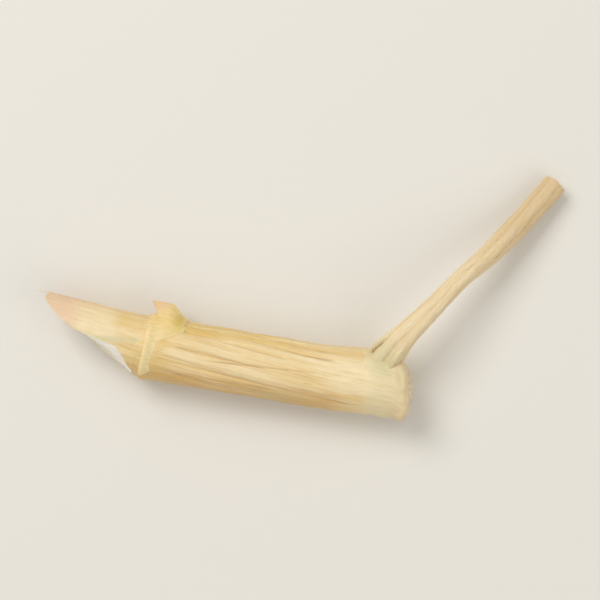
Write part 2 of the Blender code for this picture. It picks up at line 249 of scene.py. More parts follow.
def scars(x, angle):
    """Small collars with a dimple, where roots once left the nodes."""
    height = 0.0
    for scar_x, scar_degrees in ROOT_SCARS:
        offset = angle - math.radians(scar_degrees)
        offset = math.atan2(math.sin(offset), math.cos(offset))
        distance = math.hypot(x - scar_x, offset * LONG_INTERNODE_RADIUS)
        rim = SCAR_RIM * bell(distance, SCAR_RADIUS, 0.45 * SCAR_RADIUS)
        height += rim - SCAR_DIMPLE * bell(distance, 0.0, 0.45 * SCAR_RADIUS)
    return height


def smooth_radius(x, angle):
    """Outer radius of the stem without its ribs."""
    widening = smooth_step(LEFT_NODE_X - 0.5 * NODE_LENGTH, LEFT_NODE_X + 0.5 * NODE_LENGTH, x)
    radius = SHORT_INTERNODE_RADIUS + (LONG_INTERNODE_RADIUS - SHORT_INTERNODE_RADIUS) * widening
    radius += NODE_SWELLING * bell(x, RIGHT_NODE_X, NODE_LENGTH)
    radius += RING_HEIGHT * bell(x, LEFT_NODE_X, RING_WIDTH)
    ragged = noise.noise(Vector((4.0 * math.cos(angle), 4.0 * math.sin(angle), 0.0)))
    edge = SHEATH_EDGE_X + SHEATH_RAGGEDNESS * ragged
    step = SHEATH_STEP * (0.35 + 0.65 * smooth_step(0.3, 1.0, facing(angle, SHEATH_STEP_DEGREES)))
    radius += step * smooth_step(edge - SHEATH_STEP_WIDTH, edge, x)
    place = Vector((x, math.cos(angle) * radius, math.sin(angle) * radius)) / LUMP_SIZE
    return radius + LUMP_HEIGHT * noise.noise(place) + scars(x, angle)


def rib_share(x):
    """How fully the ribs stand at x: they fade out at both nodes."""
    along = smooth_step(LEFT_NODE_X + 0.5 * RIB_FADE, LEFT_NODE_X + 1.5 * RIB_FADE, x)
    along *= 1.0 - smooth_step(SHEATH_EDGE_X - RIB_FADE, SHEATH_EDGE_X, x)
    return along + SHORT_INTERNODE_RIBS * smooth_step(LEFT_NODE_X - RING_WIDTH, LEFT_NODE_X - RIB_FADE, x)


def rib_crest(x, phase):
    """1 on the crest of a rib, 0 at the bottom of a furrow."""
    drift = RIB_DRIFT * grain_noise(x, phase, LONG_INTERNODE_RADIUS, RIB_DRIFT_LENGTH)
    return abs(math.cos(0.5 * RIB_COUNT * (phase + drift)))


def smooth_patch(x, angle):
    """1 on the smooth paler patch on top of the long internode, just before the right node."""
    top = smooth_step(0.70, 0.98, facing(angle, SHEATH_STEP_DEGREES))
    return bell(x, SMOOTH_PATCH_X, SMOOTH_PATCH_REACH) * top


def rib_height(x, phase, angle):
    """How high the ribs stand here, since some furrows are deep and others nearly close."""
    uneven = 1.0 - RIB_UNEVENNESS * (1.0 - math.sin(2.0 * phase + x / LUMP_SIZE))
    deep = smooth_step(-0.30, 0.40, grain_noise(x, phase, RIB_PATCH_WIDTH, RIB_PATCH_LENGTH))
    uneven *= 0.25 + 1.25 * deep
    return uneven * rib_share(x) * (1.0 - 0.75 * smooth_patch(x, angle))


def skin_radius(x, phase):
    """Outer radius of the stem with its ribs, furrow lines, streaks, wrinkles and creases."""
    angle = column_angle(x, phase)
    crest = rib_crest(x, phase)
    height = rib_height(x, phase, angle)
    radius = smooth_radius(x, angle)
    radius += RIB_DEPTH * (crest - 2.0 / math.pi) * height
    radius -= FURROW_LINE_DEPTH * (1.0 - crest) ** 5 * height
    radius += on_lines(x, angle, DARK_LINES)[1] + on_lines(x, angle, BRIGHT_LINES)[1]
    for streak_height, across, along in STREAKS:
        radius += streak_height * grain_noise(x, phase, across, along) * (0.5 + 0.5 * rib_share(x))
    radius += WRINKLE_HEIGHT * grain_noise(x, phase, WRINKLE_SIZE, WRINKLE_SIZE)
    ring = bell(x, LEFT_NODE_X, 1.5 * RING_WIDTH)
    radius += RING_HEIGHT * RING_UNEVENNESS * ring * grain_noise(x, phase, 0.16 * MM, 0.30 * MM)
    for offset, depth in CREASES:
        waver = CREASE_WAVER * grain_noise(0.0, phase, 0.5 * MM, MM)
        radius -= depth * bell(x, LEFT_NODE_X + offset + waver, CREASE_WIDTH)
    return radius


def hollow_radius(x, phase):
    """Radius of the pith hollow, ridged along its length."""
    ridges = waves(HOLLOW_UNEVENNESS, phase) + 0.05 * grain_noise(x, phase, 0.3 * MM, 0.6 * MM)
    return HOLLOW_RADIUS * (1.0 + ridges)


def node_slant(x):
    """How far the stem's sections lean at x, from the slant of one node to that of the other."""
    share = smooth_step(LEFT_NODE_X, RIGHT_NODE_X, x)
    return LEFT_NODE_SLANT + (RIGHT_NODE_SLANT - LEFT_NODE_SLANT) * share


def stem_point(x, angle, radius, shift=0.0):
    """Point of the stem's section at x, leaned by the nodes' slant and flat where it rests."""
    side, height = stem_centre(x)
    across = radius * math.cos(angle)
    up = max(height + radius * math.sin(angle), 0.0)
    return Vector((x - node_slant(x) * across, side + across + shift, up))


def cut_x(y, z):
    """Place of the slanting cut's face along X at a place across and a height."""
    lean = smooth_step(CUT_BACK_Y, CUT_FRONT_Y, y)
    lean = CUT_BACK_LEAN + (CUT_FRONT_LEAN - CUT_BACK_LEAN) * lean
    blunting = CUT_TIP_BLUNTNESS * max(y - CUT_TIP_START_Y, 0.0) ** 2
    return CUT_CENTRE_X + CUT_SLOPE_Y * (y - CUT_CENTRE_Y) + lean * (z - AXIS_HEIGHT) + blunting


def peel(x, phase, angle, wall_share):
    """How far the outer part of the wall is torn back from the cut, at its front."""
    sideways = math.cos(angle)
    front = smooth_step(0.05, -0.22, sideways) * smooth_step(NODE_START, NODE_START - PEEL_FADE, x)
    front *= 1.0 - PEEL_TAPER * smooth_step(-0.3, -1.0, sideways)
    coarse = grain_noise(0.0, phase, 0.13 * MM, MM)
    fine = grain_noise(MM, phase, 0.05 * MM, MM)
    return PEEL_LENGTH * front * (1.0 + 0.5 * coarse + 0.3 * fine) * smooth_step(PEEL_START, 1.0, wall_share)


def cut_station(phase, wall_share):
    """Place along the stem and point where a column of the wall meets the slanting cut."""
    chip = CUT_CHIPPING * grain_noise(0.0, phase, CUT_CHIP_SIZE, MM) * wall_share ** 4
    shift = HOLLOW_SHIFT * (1.0 - wall_share)
    x = CUT_CENTRE_X
    for _ in range(CUT_FITTING_ROUNDS):
        angle = column_angle(x, phase)
        inner = hollow_radius(x, phase)
        radius = inner + wall_share * (skin_radius(x, phase) - inner)
        point = stem_point(x, angle, radius, shift)
        x += cut_x(point.y, point.z) + chip + peel(x, phase, angle, wall_share) - point.x
    x = min(x, NODE_START)
    rough = CUT_ROUGHNESS * grain_noise(radius, phase, CUT_ROUGHNESS_SIZE, CUT_ROUGHNESS_SIZE)
    rough *= 1.0 - wall_share ** 6
    return x, stem_point(x + rough, column_angle(x, phase), radius, shift)


def stations(start, end, count):
    """Evenly spaced places from start up to, but not at, end."""
    return [start + (end - start) * index / count for index in range(count)]


UNMARKED = (0.0, 0.0, 0.0, 0.0)


class Surface:
    """Vertices and faces, with what a finish reads of each vertex: grain place, marks and tints."""

    def __init__(self):
        self.points, self.grains, self.marks, self.tints = [], [], [], []
        self.faces, self.finishes = [], []

    def vertex(self, point, grain_place=(0.0, 0.0, 0.0), marks=UNMARKED, tints=UNMARKED):
        """Add one vertex. Marks and tints are four values each, from 0 to 1."""
        self.points.append(point)
        self.grains.append(grain_place)
        self.marks.append(marks)
        self.tints.append(tints)
        return len(self.points) - 1

    def face(self, corners, finish=0):
        """Add one face, with the number of its finish."""
        self.faces.append(corners)
        self.finishes.append(finish)

    def bridge(self, near, far, finishes):
        """Faces between two rings, given by their first vertices, with a finish for each column."""
        for index, finish in enumerate(finishes):
            following = (index + 1) % len(finishes)
            self.face((near + index, near + following, far + following, far + index), finish)

    def cap(self, pole, ring, finishes, outward):
        """Fan of faces from a pole to a ring."""
        for index, finish in enumerate(finishes):
            rim = (ring + index, ring + (index + 1) % len(finishes))
            self.face((pole, *(rim[::-1] if outward else rim)), finish)


SHARP_EDGE = math.radians(55.0)


def add_piece(name, surface, materials):
    """Mesh object at the origin, shaded smooth between sharp edges, with its marks and tints."""
    mesh = bpy.data.meshes.new(name)
    mesh.from_pydata(surface.points, [], surface.faces)
    for material in materials:
        mesh.materials.append(material)
    mesh.polygons.foreach_set("material_index", surface.finishes)
    for label, kind, field, values in (
        ("grain", "FLOAT_VECTOR", "vector", surface.grains),
        ("marks", "FLOAT_COLOR", "color", surface.marks),
        ("tints", "FLOAT_COLOR", "color", surface.tints),
    ):
        layer = mesh.attributes.new(label, kind, "POINT")
        layer.data.foreach_set(field, [number for value in values for number in value])
    mesh.shade_smooth()
    mesh.set_sharp_from_angle(angle=SHARP_EDGE)
    piece = bpy.data.objects.new(name, mesh)
    bpy.context.scene.collection.objects.link(piece)
    return piece


def skin_marks(x, phase, angle, point):
    """Furrow, ochre, blush and pale of the skin: painted shade in furrows and creases, ochre stain with
    painted shade on the lower front side, pinkish blush, greyish cream.
    """
    sideways = math.cos(angle)
    strength = smooth_step(0.25, 1.10, rib_height(x, phase, angle))
    # Furrow mark: painted shade at the bottoms of the furrows and in the creases; it also darkens the dark
    # lines
    furrow = 0.85 * (1.0 - rib_crest(x, phase)) ** 3.4 * strength
    furrow = max(furrow, on_lines(x, angle, DARK_LINES)[0])
    for offset, _ in CREASES:
        crease = bell(x, LEFT_NODE_X + offset, CREASE_WIDTH) * bell(sideways, 0.85, 0.25)
        furrow = max(furrow, 0.30 * crease)
    # Darker ochre on the lower front side: part stain, part painted shade on the side turned from the light;
    # the patches and the broken end are stain
    ochre_and_lower_shade = smooth_step(-0.10, -0.80, sideways)
    ochre_and_lower_shade *= smooth_step(LEFT_NODE_X - MM, LEFT_NODE_X + 0.5 * MM, x)
    ochre_and_lower_shade *= 1.0 - 0.85 * smooth_step(SHEATH_EDGE_X - 1.5 * MM, SHEATH_EDGE_X, x)
    ochre_and_lower_shade += on_patches(x, angle, OCHRE_PATCHES) + 0.55 * smooth_step(4.5 * MM, 5.1 * MM, point.x)
    blush = smooth_step(-5.7 * MM, -7.3 * MM, point.x) + 0.20 * smooth_step(-4.2 * MM, -5.0 * MM, point.x)
    blush += 0.45 * smooth_step(4.3 * MM, 5.0 * MM, point.x) * smooth_step(0.2, -0.9, sideways)
    fade = 0.06 * MM + 0.6 * MM * smooth_step(0.90, 0.30, facing(angle, SHEATH_STEP_DEGREES))
    pale = smooth_step(SHEATH_EDGE_X - fade, SHEATH_EDGE_X + fade, x)
    short_internode = smooth_step(LEFT_NODE_X - 0.4 * MM, LEFT_NODE_X - 1.3 * MM, x)
    pale += 0.70 * short_internode * smooth_step(0.8, 0.2, sideways)
    return furrow, min(ochre_and_lower_shade, 1.0), min(blush, 1.0), pale


def skin_tints(x, angle):
    """Green and gold of the skin, its paler patch with painted highlights, and painted shade before the ring.
    """
    green = on_patches(x, angle, GREEN_PATCHES) + 1.1 * on_lines(x, angle, GREEN_LINES)[0]
    gold = 0.6 * bell(x, LEFT_NODE_X + 0.25 * MM, 0.75 * MM) + on_patches(x, angle, GOLD_PATCHES)
    # Paler smooth patch, with painted highlights on the bright lines and on the lit upper back of the short
    # internode
    bleach_and_highlight = smooth_patch(x, angle) + 0.65 * on_lines(x, angle, BRIGHT_LINES)[0]
    bleach_and_highlight += 0.75 * smooth_step(-4.6 * MM, -5.4 * MM, x) * smooth_step(0.55, 0.95, facing(angle, 62.0))
    # Painted shade in the crease where the skin steps up to the ring of the left node
    shade_before_ring = 0.3 * bell(x, LEFT_NODE_X - 1.7 * RING_WIDTH, 0.6 * RING_WIDTH)
    return min(green, 1.0), min(gold, 1.0), min(bleach_and_highlight, 1.0), shade_before_ring


SKIN, TISSUE = 0, 1
ALL_SKIN = [SKIN] * STEM_COLUMNS
ALL_TISSUE = [TISSUE] * STEM_COLUMNS
stem = Surface()
rings = []

# Floor of the hollow, then its wall out to the mouth. Marks of the tissue are depth in the hollow,
# grime, blush and whiteness. Depth is painted shade, darkest on the hollow's floor, and so is the
# grime inside the hollow; at the broken end the grime is a stain.
FLOOR_MARKS = (1.0, 0.8, 0.0, 0.0)
floor_centre = stem_point(HOLLOW_END_X, 0.0, 0.0, HOLLOW_SHIFT)
floor_pole = stem.vertex(floor_centre, grain(HOLLOW_END_X, 0.0), FLOOR_MARKS)
for scale in (0.15, 0.3, 0.45, 0.6, 0.75, 0.88):
    rings.append(len(stem.points))
    for phase in STEM_PHASES:
        radius = scale * hollow_radius(HOLLOW_END_X, phase)
        x = HOLLOW_END_X + 0.05 * MM * grain_noise(radius, phase, 0.25 * MM, 0.2 * MM)
        point = stem_point(x, column_angle(x, phase), radius, HOLLOW_SHIFT)
        stem.vertex(point, grain(x, phase), FLOOR_MARKS)
mouth = [cut_station(phase, 0.0)[0] for phase in STEM_PHASES]
for share in (0.03, 0.09, 0.17, 0.27, 0.38, 0.5, 0.62, 0.74, 0.85, 0.94):
    rings.append(len(stem.points))
    for phase, end in zip(STEM_PHASES, mouth):
        x = HOLLOW_END_X + share * (end - HOLLOW_END_X)
        point = stem_point(x, column_angle(x, phase), hollow_radius(x, phase), HOLLOW_SHIFT)
        stem.vertex(point, grain(x, phase), (1.0 - 0.6 * share, 0.5, 0.0, 0.0))

# Cut face, from the mouth of the hollow to the outer edge
for wall_share in (0.0, 0.05, 0.13, 0.22, 0.32, 0.42, 0.52, 0.61, 0.69, 0.76, 0.83, 0.89, 0.94, 0.98):
    rings.append(len(stem.points))
    for phase in STEM_PHASES:
        x, point = cut_station(phase, wall_share)
        angle = column_angle(x, phase)
        white = smooth_step(0.30, -0.15, math.cos(angle)) * smooth_step(-0.75, 0.35, math.sin(angle))
        blush = smooth_step(-6.6 * MM, -7.4 * MM, point.x)
        blush += 0.45 * white * bell(point.x, -4.6 * MM, 0.5 * MM)
        white *= 0.15 + 0.85 * smooth_step(0.35, 0.80, wall_share)
        stem.vertex(point, grain(wall_share * MM, phase), (0.0, 0.0, blush, white))
tissue_rings = len(rings)


def add_skin_ring(places):
    """Ring of the outer skin with its own place along the stem for each column."""
    rings.append(len(stem.points))
    for x, phase in zip(places, STEM_PHASES):
        angle = column_angle(x, phase)
        point = stem_point(x, angle, skin_radius(x, phase))
        stem.vertex(point, grain(x, phase), skin_marks(x, phase, angle, point), skin_tints(x, angle))


# Short internode, whose rings spread from the slanting cut to the upright ring of the node
SHORT_INTERNODE_ROWS = 42
cut_edge = [cut_station(phase, 1.0)[0] for phase in STEM_PHASES]
for share in stations(0.0, 1.0, SHORT_INTERNODE_ROWS):
    add_skin_ring([start + share * (NODE_START - start) for start in cut_edge])

# Left node, long internode, sheath edge and right node: start, end and count of rings of each
RING_END = LEFT_NODE_X + 2.6 * RING_WIDTH
SHEATH_START = SHEATH_EDGE_X - 0.28 * MM
SHEATH_END = SHEATH_EDGE_X + 0.20 * MM
for start, end, count in (
    (NODE_START, RING_END, 34),
    (RING_END, SHEATH_START, 126),
    (SHEATH_START, SHEATH_END, 24),
    (SHEATH_END, BREAK_START_X, 20),
):
    for place in stations(start, end, count):
        add_skin_ring([place] * STEM_COLUMNS)

# Broken end: a blunt lumpy dome, crumbly where the tissue is torn
crown_centre = stem_point(BREAK_START_X, 0.0, 0.0, 0.5 * BREAK_SHIFT)


def break_edge(phase):
    """Rise of the dome at which the skin ends in a ragged line and the torn tissue starts."""
    coarse = grain_noise(0.0, phase, 0.25 * MM, MM)
    fine = grain_noise(MM, phase, 0.08 * MM, MM)
    return BREAK_RAW_RISE + 0.13 * coarse + 0.05 * fine


def broken_point(rise, phase):
    """Point of the dome at a rise from 0 at its rim to 1 at its crown, and how raw it is there."""
    narrowing = math.sqrt(max(1.0 - rise * rise, 0.0)) ** BREAK_BLUNTNESS
    x = BREAK_START_X + BREAK_LENGTH * rise
    angle = column_angle(x, phase)
    smooth = smooth_radius(x, angle)
    outer = smooth + (skin_radius(x, phase) - smooth) * smooth_step(0.6, 0.0, rise)
    radius = outer * narrowing * (1.0 + rise * waves(BREAK_LUMPS, phase))
    point = stem_point(x, angle, radius, BREAK_SHIFT * rise)
    outward = (point - crown_centre).normalized()
    knobs = sum(height * noise.noise(point / size) for size, height in BREAK_KNOBS)
    moved = knobs * smooth_step(0.0, 0.5, rise)
    rounding = smooth_step(0.5, 1.0, -math.cos(angle)) * rise * rise * (1.0 - rise)
    point.x -= BREAK_FRONT_ROUNDING * rounding
    raw = smooth_step(break_edge(phase) - 0.03, break_edge(phase) + 0.05, rise)
    moved += BREAK_CRUMB_HEIGHT * noise.noise(point / BREAK_CRUMB_SIZE) * raw - BREAK_RAW_DROP * raw
    point += outward * moved
    point.z = max(point.z, 0.0)
    return point, raw


break_start = len(rings)
break_rises = [math.sin(math.radians(BREAK_LAST_ROW_DEGREES) * row / BREAK_ROWS) for row in range(BREAK_ROWS)]
for rise in break_rises:
    rings.append(len(stem.points))
    x = BREAK_START_X + BREAK_LENGTH * rise
    for phase in STEM_PHASES:
        point, raw = broken_point(rise, phase)
        skin_mark = skin_marks(x, phase, column_angle(x, phase), point)
        grime_and_hollow_shade = 0.30 + 0.30 * smooth_step(0.05, 0.35, noise.noise(point / (0.16 * MM)))
        if raw < 0.5:
            stem.vertex(point, grain(x, phase), skin_mark)
        else:
            stem.vertex(point, point, (0.0, grime_and_hollow_shade, skin_mark[2], 0.0))
crown, _ = broken_point(1.0, 0.0)
crown_pole = stem.vertex(crown, crown, (0.0, 0.3, 0.2, 0.0))

stem.cap(floor_pole, rings[0], ALL_TISSUE, True)
for number, (near, far) in enumerate(zip(rings, rings[1:])):
    if number < tissue_rings:
        stem.bridge(near, far, ALL_TISSUE)
    elif number < break_start:
        stem.bridge(near, far, ALL_SKIN)
    else:
        rise = break_rises[number - break_start]
        stem.bridge(near, far, [TISSUE if rise > break_edge(phase) else SKIN for phase in STEM_PHASES])
stem.cap(crown_pole, rings[-1], ALL_TISSUE, False)


# Dried rhizome skin: the waxy outer cells of a grass stem, left straw-coloured by drying. It
# gives a soft silky shine on the ribs and long fine streaks; its furrows carry painted shade.
def linear(code):
    """Linear RGBA from an sRGB hex colour."""
    channels = [int(code[start:start + 2], 16) / 255.0 for start in (1, 3, 5)]
    return (*[c / 12.92 if c <= 0.04045 else ((c + 0.055) / 1.055) ** 2.4 for c in channels], 1.0)


def add_node(tree, kind, values=(), **settings):
    """Add a node with its settings. Values fill its sockets, or link them to a socket or node."""
    made = tree.nodes.new(kind)
    for label, setting in settings.items():
        setattr(made, label, setting)
    for socket, value in dict(values).items():
        if isinstance(value, bpy.types.Node):
            value = value.outputs[0]
        if isinstance(value, bpy.types.NodeSocket):
            tree.links.new(value, made.inputs[socket])
        else:
            made.inputs[socket].default_value = value
    return made


def painted(tree, label):
    """The four channels of a colour that the mesh keeps at its vertices."""
    layer = add_node(tree, "ShaderNodeAttribute", attribute_name=label)
    parts = add_node(tree, "ShaderNodeSeparateColor", {0: layer.outputs["Color"]})
    return (*parts.outputs, layer.outputs["Alpha"])


def grain_pattern(tree, grain_place, across, along, detail):
    """Pattern drawn out along the grain: its patches are across wide and along long, in metres."""
    scaled = add_node(tree, "ShaderNodeMapping", {
        "Vector": grain_place, "Scale": (1.0 / across, 1.0 / across, 1.0 / along),
    })
    return add_node(tree, "ShaderNodeTexNoise", {
        "Vector": scaled, "Scale": 1.0, "Detail": detail, "Roughness": 0.6,
    })


def stained(tree, base, stains):
    """Base colour under stains: each has its pattern, where that starts and is full, and a share."""
    tint = linear(base)
    for pattern, start, full, share, code in stains:
        cover = add_node(tree, "ShaderNodeMapRange", {
            "Value": pattern, "From Min": start, "From Max": full, "To Max": share,
        }, interpolation_type="SMOOTHSTEP")
        mixed = add_node(tree, "ShaderNodeMix", {0: cover, 6: tint, 7: linear(code)}, data_type="RGBA")
        tint = mixed.outputs[2]
    tree.links.new(tint, tree.nodes["Principled BSDF"].inputs["Base Color"])


def embossed(tree, coarse, fine, depth):
    """Fine relief from two patterns, as deep as depth in metres."""
    relief = add_node(tree, "ShaderNodeMath", {0: coarse, 1: fine}, operation="ADD")
    bump = add_node(tree, "ShaderNodeBump", {"Strength": 0.8, "Distance": depth, "Height": relief})
    tree.links.new(bump.outputs[0], tree.nodes["Principled BSDF"].inputs["Normal"])


def new_material(name, base, plain_values):
    """Principled material with its plain values set on the shader's own sockets."""
    material = bpy.data.materials.new(name)
    material.use_nodes = True
    shader = material.node_tree.nodes["Principled BSDF"]
    for label, value in plain_values.items():
        shader.inputs[label].default_value = value
    shader.inputs["Base Color"].default_value = linear(base)
    material.diffuse_color = linear(base)
    return material, material.node_tree


skin, tree = new_material("dried_rhizome_skin", "#E6CF97", {
    "IOR": 1.47,
    "Coat Weight": 0.10,
    "Coat Roughness": 0.35,
    "Subsurface Weight": 0.05,
    "Subsurface Radius": (1.0, 0.65, 0.30),
    "Subsurface Scale": 0.15 * MM,
})
grain_place = add_node(tree, "ShaderNodeAttribute", attribute_name="grain").outputs["Vector"]
furrow, ochre_and_lower_shade, blush, pale = painted(tree, "marks")
green, gold, bleach_and_highlight, shade_before_ring = painted(tree, "tints")
broad = grain_pattern(tree, grain_place, 0.50 * MM, 3.5 * MM, 3.0)
streaks = grain_pattern(tree, grain_place, 0.12 * MM, 2.6 * MM, 3.0)
lines = grain_pattern(tree, grain_place, 0.045 * MM, 3.0 * MM, 2.0)
fibres = grain_pattern(tree, grain_place, 0.030 * MM, 0.7 * MM, 2.0)
cells = grain_pattern(tree, grain_place, 0.05 * MM, 0.05 * MM, 2.0)
SPECK_SPACING = (1.0 / (0.42 * MM), 1.0 / (0.42 * MM), 1.0 / (0.70 * MM))
speck_place = add_node(tree, "ShaderNodeMapping", {"Vector": grain_place, "Scale": SPECK_SPACING})
speck_cells = add_node(tree, "ShaderNodeTexVoronoi", {"Vector": speck_place, "Scale": 1.0})
speck_spots = add_node(tree, "ShaderNodeMapRange", {
    "Value": speck_cells, "From Min": 0.04, "From Max": 0.11, "To Min": 1.0, "To Max": 0.0,
})
speck_where = add_node(tree, "ShaderNodeMapRange", {"Value": broad, "From Min": 0.54, "From Max": 0.68})
specks = add_node(tree, "ShaderNodeMath", {0: speck_spots, 1: speck_where}, operation="MULTIPLY")
ochre_patches = add_node(tree, "ShaderNodeMapRange", {
    "Value": broad, "From Min": 0.30, "From Max": 0.65, "To Min": 0.45, "To Max": 1.0,
})
patchy_ochre_and_shade = add_node(tree, "ShaderNodeMath", {0: ochre_and_lower_shade, 1: ochre_patches}, operation="MULTIPLY")
stain_breaks = add_node(tree, "ShaderNodeMapRange", {
    "Value": streaks, "From Min": 0.30, "From Max": 0.62, "To Min": 0.15, "To Max": 1.0,
})
broken_furrow = add_node(tree, "ShaderNodeMath", {0: furrow, 1: stain_breaks}, operation="MULTIPLY")
stained(tree, "#E6C98F", (
    (streaks, 0.38, 0.72, 0.75, "#F2E0BA"),
    (broad, 0.50, 0.75, 0.45, "#DBBA78"),
    # Ochre stain, with painted shade on the lower front side
    (patchy_ochre_and_shade, 0.0, 1.0, 0.85, "#CDA056"),
    (lines, 0.54, 0.72, 0.45, "#C9A163"),
    (lines, 0.44, 0.26, 0.45, "#F8EACA"),
    (pale, 0.0, 1.0, 0.75, "#E6D6AC"),
    (gold, 0.0, 1.0, 0.70, "#DCBA66"),
    # Paler patch and painted highlights
    (bleach_and_highlight, 0.0, 1.0, 0.62, "#F1E1B8"),
    (green, 0.0, 1.0, 0.60, "#CFCA9C"),
    (blush, 0.0, 1.0, 0.60, "#E4BCA0"),
    (fibres, 0.56, 0.76, 0.42, "#BE9455"),
    (cells, 0.62, 0.78, 0.30, "#B08A52"),
    # Painted shade in the furrows and creases
    (broken_furrow, 0.0, 0.9, 0.62, "#B78F54"),
    # Painted shade before the ring
    (shade_before_ring, 0.0, 1.0, 0.30, "#A88452"),
    (specks, 0.0, 1.0, 0.60, "#94703F"),
))
gloss = add_node(tree, "ShaderNodeMapRange", {
    "Value": streaks, "From Min": 0.3, "From Max": 0.7, "To Min": 0.38, "To Max": 0.55,
})
tree.links.new(gloss.outputs[0], tree.nodes["Principled BSDF"].inputs["Roughness"])
embossed(tree, fibres, cells, 0.012 * MM)

# Cut rhizome tissue: the stem's wall where it was cut or torn, and the lining of its hollow.
# Fresh cells were pale, so it is matt, whiter than the skin and faintly fibrous. Inside the hollow it is
# darkened with painted shade.
tissue, tree = new_material("cut_rhizome_tissue", "#F3EAD2", {
    "IOR": 1.45,
    "Roughness": 0.80,
    "Sheen Weight": 0.8,
    "Sheen Roughness": 0.35,
    "Sheen Tint": (1.0, 0.95, 0.87, 1.0),
    "Subsurface Weight": 0.5,
    "Subsurface Radius": (1.0, 0.85, 0.65),
    "Subsurface Scale": 0.3 * MM,
})
grain_place = add_node(tree, "ShaderNodeAttribute", attribute_name="grain").outputs["Vector"]
depth, grime_and_hollow_shade, blush, white = painted(tree, "marks")
coarse = grain_pattern(tree, grain_place, 0.20 * MM, 0.20 * MM, 3.0)
strings = grain_pattern(tree, grain_place, 0.05 * MM, 0.6 * MM, 2.0)
grit = grain_pattern(tree, grain_place, 0.05 * MM, 0.05 * MM, 2.0)
stained(tree, "#EFE3C6", (
    (coarse, 0.42, 0.75, 0.65, "#DFC796"),
    (grit, 0.52, 0.80, 0.40, "#D2B684"),
    (white, 0.0, 0.8, 0.96, "#FFF9F0"),
    (strings, 0.52, 0.78, 0.22, "#E0CFAC"),
    # Grime: a stain at the broken end, painted shade inside the hollow
    (grime_and_hollow_shade, 0.0, 1.0, 0.80, "#BE9A62"),
    # Painted shade, deepest on the floor of the hollow
    (depth, 0.0, 1.0, 0.60, "#C4A06A"),
    (blush, 0.0, 1.0, 0.55, "#E4BBA2"),
))
embossed(tree, strings, grit, 0.03 * MM)

furrowed_stem = add_piece("furrowed_stem", stem, (skin, tissue))
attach(furrowed_stem, "root")
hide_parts("rhizome")


# Torn fibres. The stringy strands of the stem's wall that the knife and the break pulled out: they
# stand off its cut rim and its broken end. They are the same tissue as the wall that holds them.
def new_geometry_tree(name, inputs):
    """Geometry node tree with a geometry input and output and named inputs."""
    tree = bpy.data.node_groups.new(name, "GeometryNodeTree")
    tree.interface.new_socket("Geometry", in_out="INPUT", socket_type="NodeSocketGeometry")
    tree.interface.new_socket("Geometry", in_out="OUTPUT", socket_type="NodeSocketGeometry")
    for label, kind in inputs.items():
        tree.interface.new_socket(label, in_out="INPUT", socket_type="NodeSocket" + kind)
    return tree, tree.nodes.new("NodeGroupInput").outputs, tree.nodes.new("NodeGroupOutput").inputs


def finish_tree(tree, geometry, material, result, smooth=True):
    """End of a tree: its shapes made real, shaded smooth if asked, and given their material."""
    geometry = add_node(tree, "GeometryNodeRealizeInstances", {"Geometry": geometry})
    if smooth:
        geometry = add_node(tree, "GeometryNodeSetShadeSmooth", {"Geometry": geometry, "Shade Smooth": True})
    finished = add_node(tree, "GeometryNodeSetMaterial", {"Geometry": geometry, "Material": material})
    tree.links.new(finished.outputs[0], result["Geometry"])


def grown(name, points, edges, attributes, tree, inputs):
    """Piece that a geometry node tree makes from points and lines, as a plain mesh."""
    source = bpy.data.meshes.new(name)
    source.from_pydata(points, edges, [])
    for label, kind, field, values in attributes:
        layer = source.attributes.new(label, kind, "POINT")
        layer.data.foreach_set(field, values)
    piece = bpy.data.objects.new(name, source)
    bpy.context.scene.collection.objects.link(piece)
    modifier = piece.modifiers.new(tree.name, "NODES")
    modifier.node_group = tree
    for socket in tree.interface.items_tree:
        if socket.in_out == "INPUT" and socket.name in inputs:
            modifier[socket.identifier] = inputs[socket.name]
    bpy.context.view_layer.update()
    made = bpy.data.meshes.new_from_object(piece.evaluated_get(bpy.context.evaluated_depsgraph_get()))
    piece.modifiers.remove(modifier)
    piece.data = made
    bpy.data.meshes.remove(source)
    made.name = name
    return piece


# Tree: a bent, tapered strand on each point, along its "grow" direction and as long as its "reach".
# Each bend is the middle and the end of a strand that stands up from its point.
FIBRE_BENDS = (
    ((0.00, 0.06, 0.50), (0.10, 0.02, 1.00)),
    ((0.10, -0.05, 0.45), (0.34, 0.00, 0.86)),
    ((-0.06, 0.04, 0.55), (-0.18, -0.16, 0.94)),
)
FIBRE_ROOT = (0.0, 0.0, -0.12)
FIBRE_TIP_SHARE = 0.25
fibre_tree, given, result = new_geometry_tree("torn_fibres", {
    "Slimness": "Float", "Splay": "Float", "Seed": "Int", "Material": "Material",
})
profile = add_node(fibre_tree, "GeometryNodeCurvePrimitiveCircle", {"Resolution": 5, "Radius": 1.0})
shapes = fibre_tree.nodes.new("GeometryNodeJoinGeometry")
for middle, end in FIBRE_BENDS:
    bent = add_node(fibre_tree, "GeometryNodeCurveQuadraticBezier", {
        "Resolution": 6, "Start": FIBRE_ROOT, "Middle": middle, "End": end,
    })
    along = add_node(fibre_tree, "GeometryNodeSplineParameter")
    taper = add_node(fibre_tree, "ShaderNodeMapRange", {
        "Value": along, "To Min": 1.0, "To Max": FIBRE_TIP_SHARE,
    })
    width = add_node(fibre_tree, "ShaderNodeMath", {0: taper, 1: given["Slimness"]}, operation="MULTIPLY")
    tube = add_node(fibre_tree, "GeometryNodeCurveToMesh", {
        "Curve": bent, "Profile Curve": profile, "Scale": width, "Fill Caps": True,
    })
    shape = add_node(fibre_tree, "GeometryNodeGeometryToInstance", {0: tube})
    fibre_tree.links.new(shape.outputs[0], shapes.inputs[0])
anchors = add_node(fibre_tree, "GeometryNodeMeshToPoints", {"Mesh": given["Geometry"]})
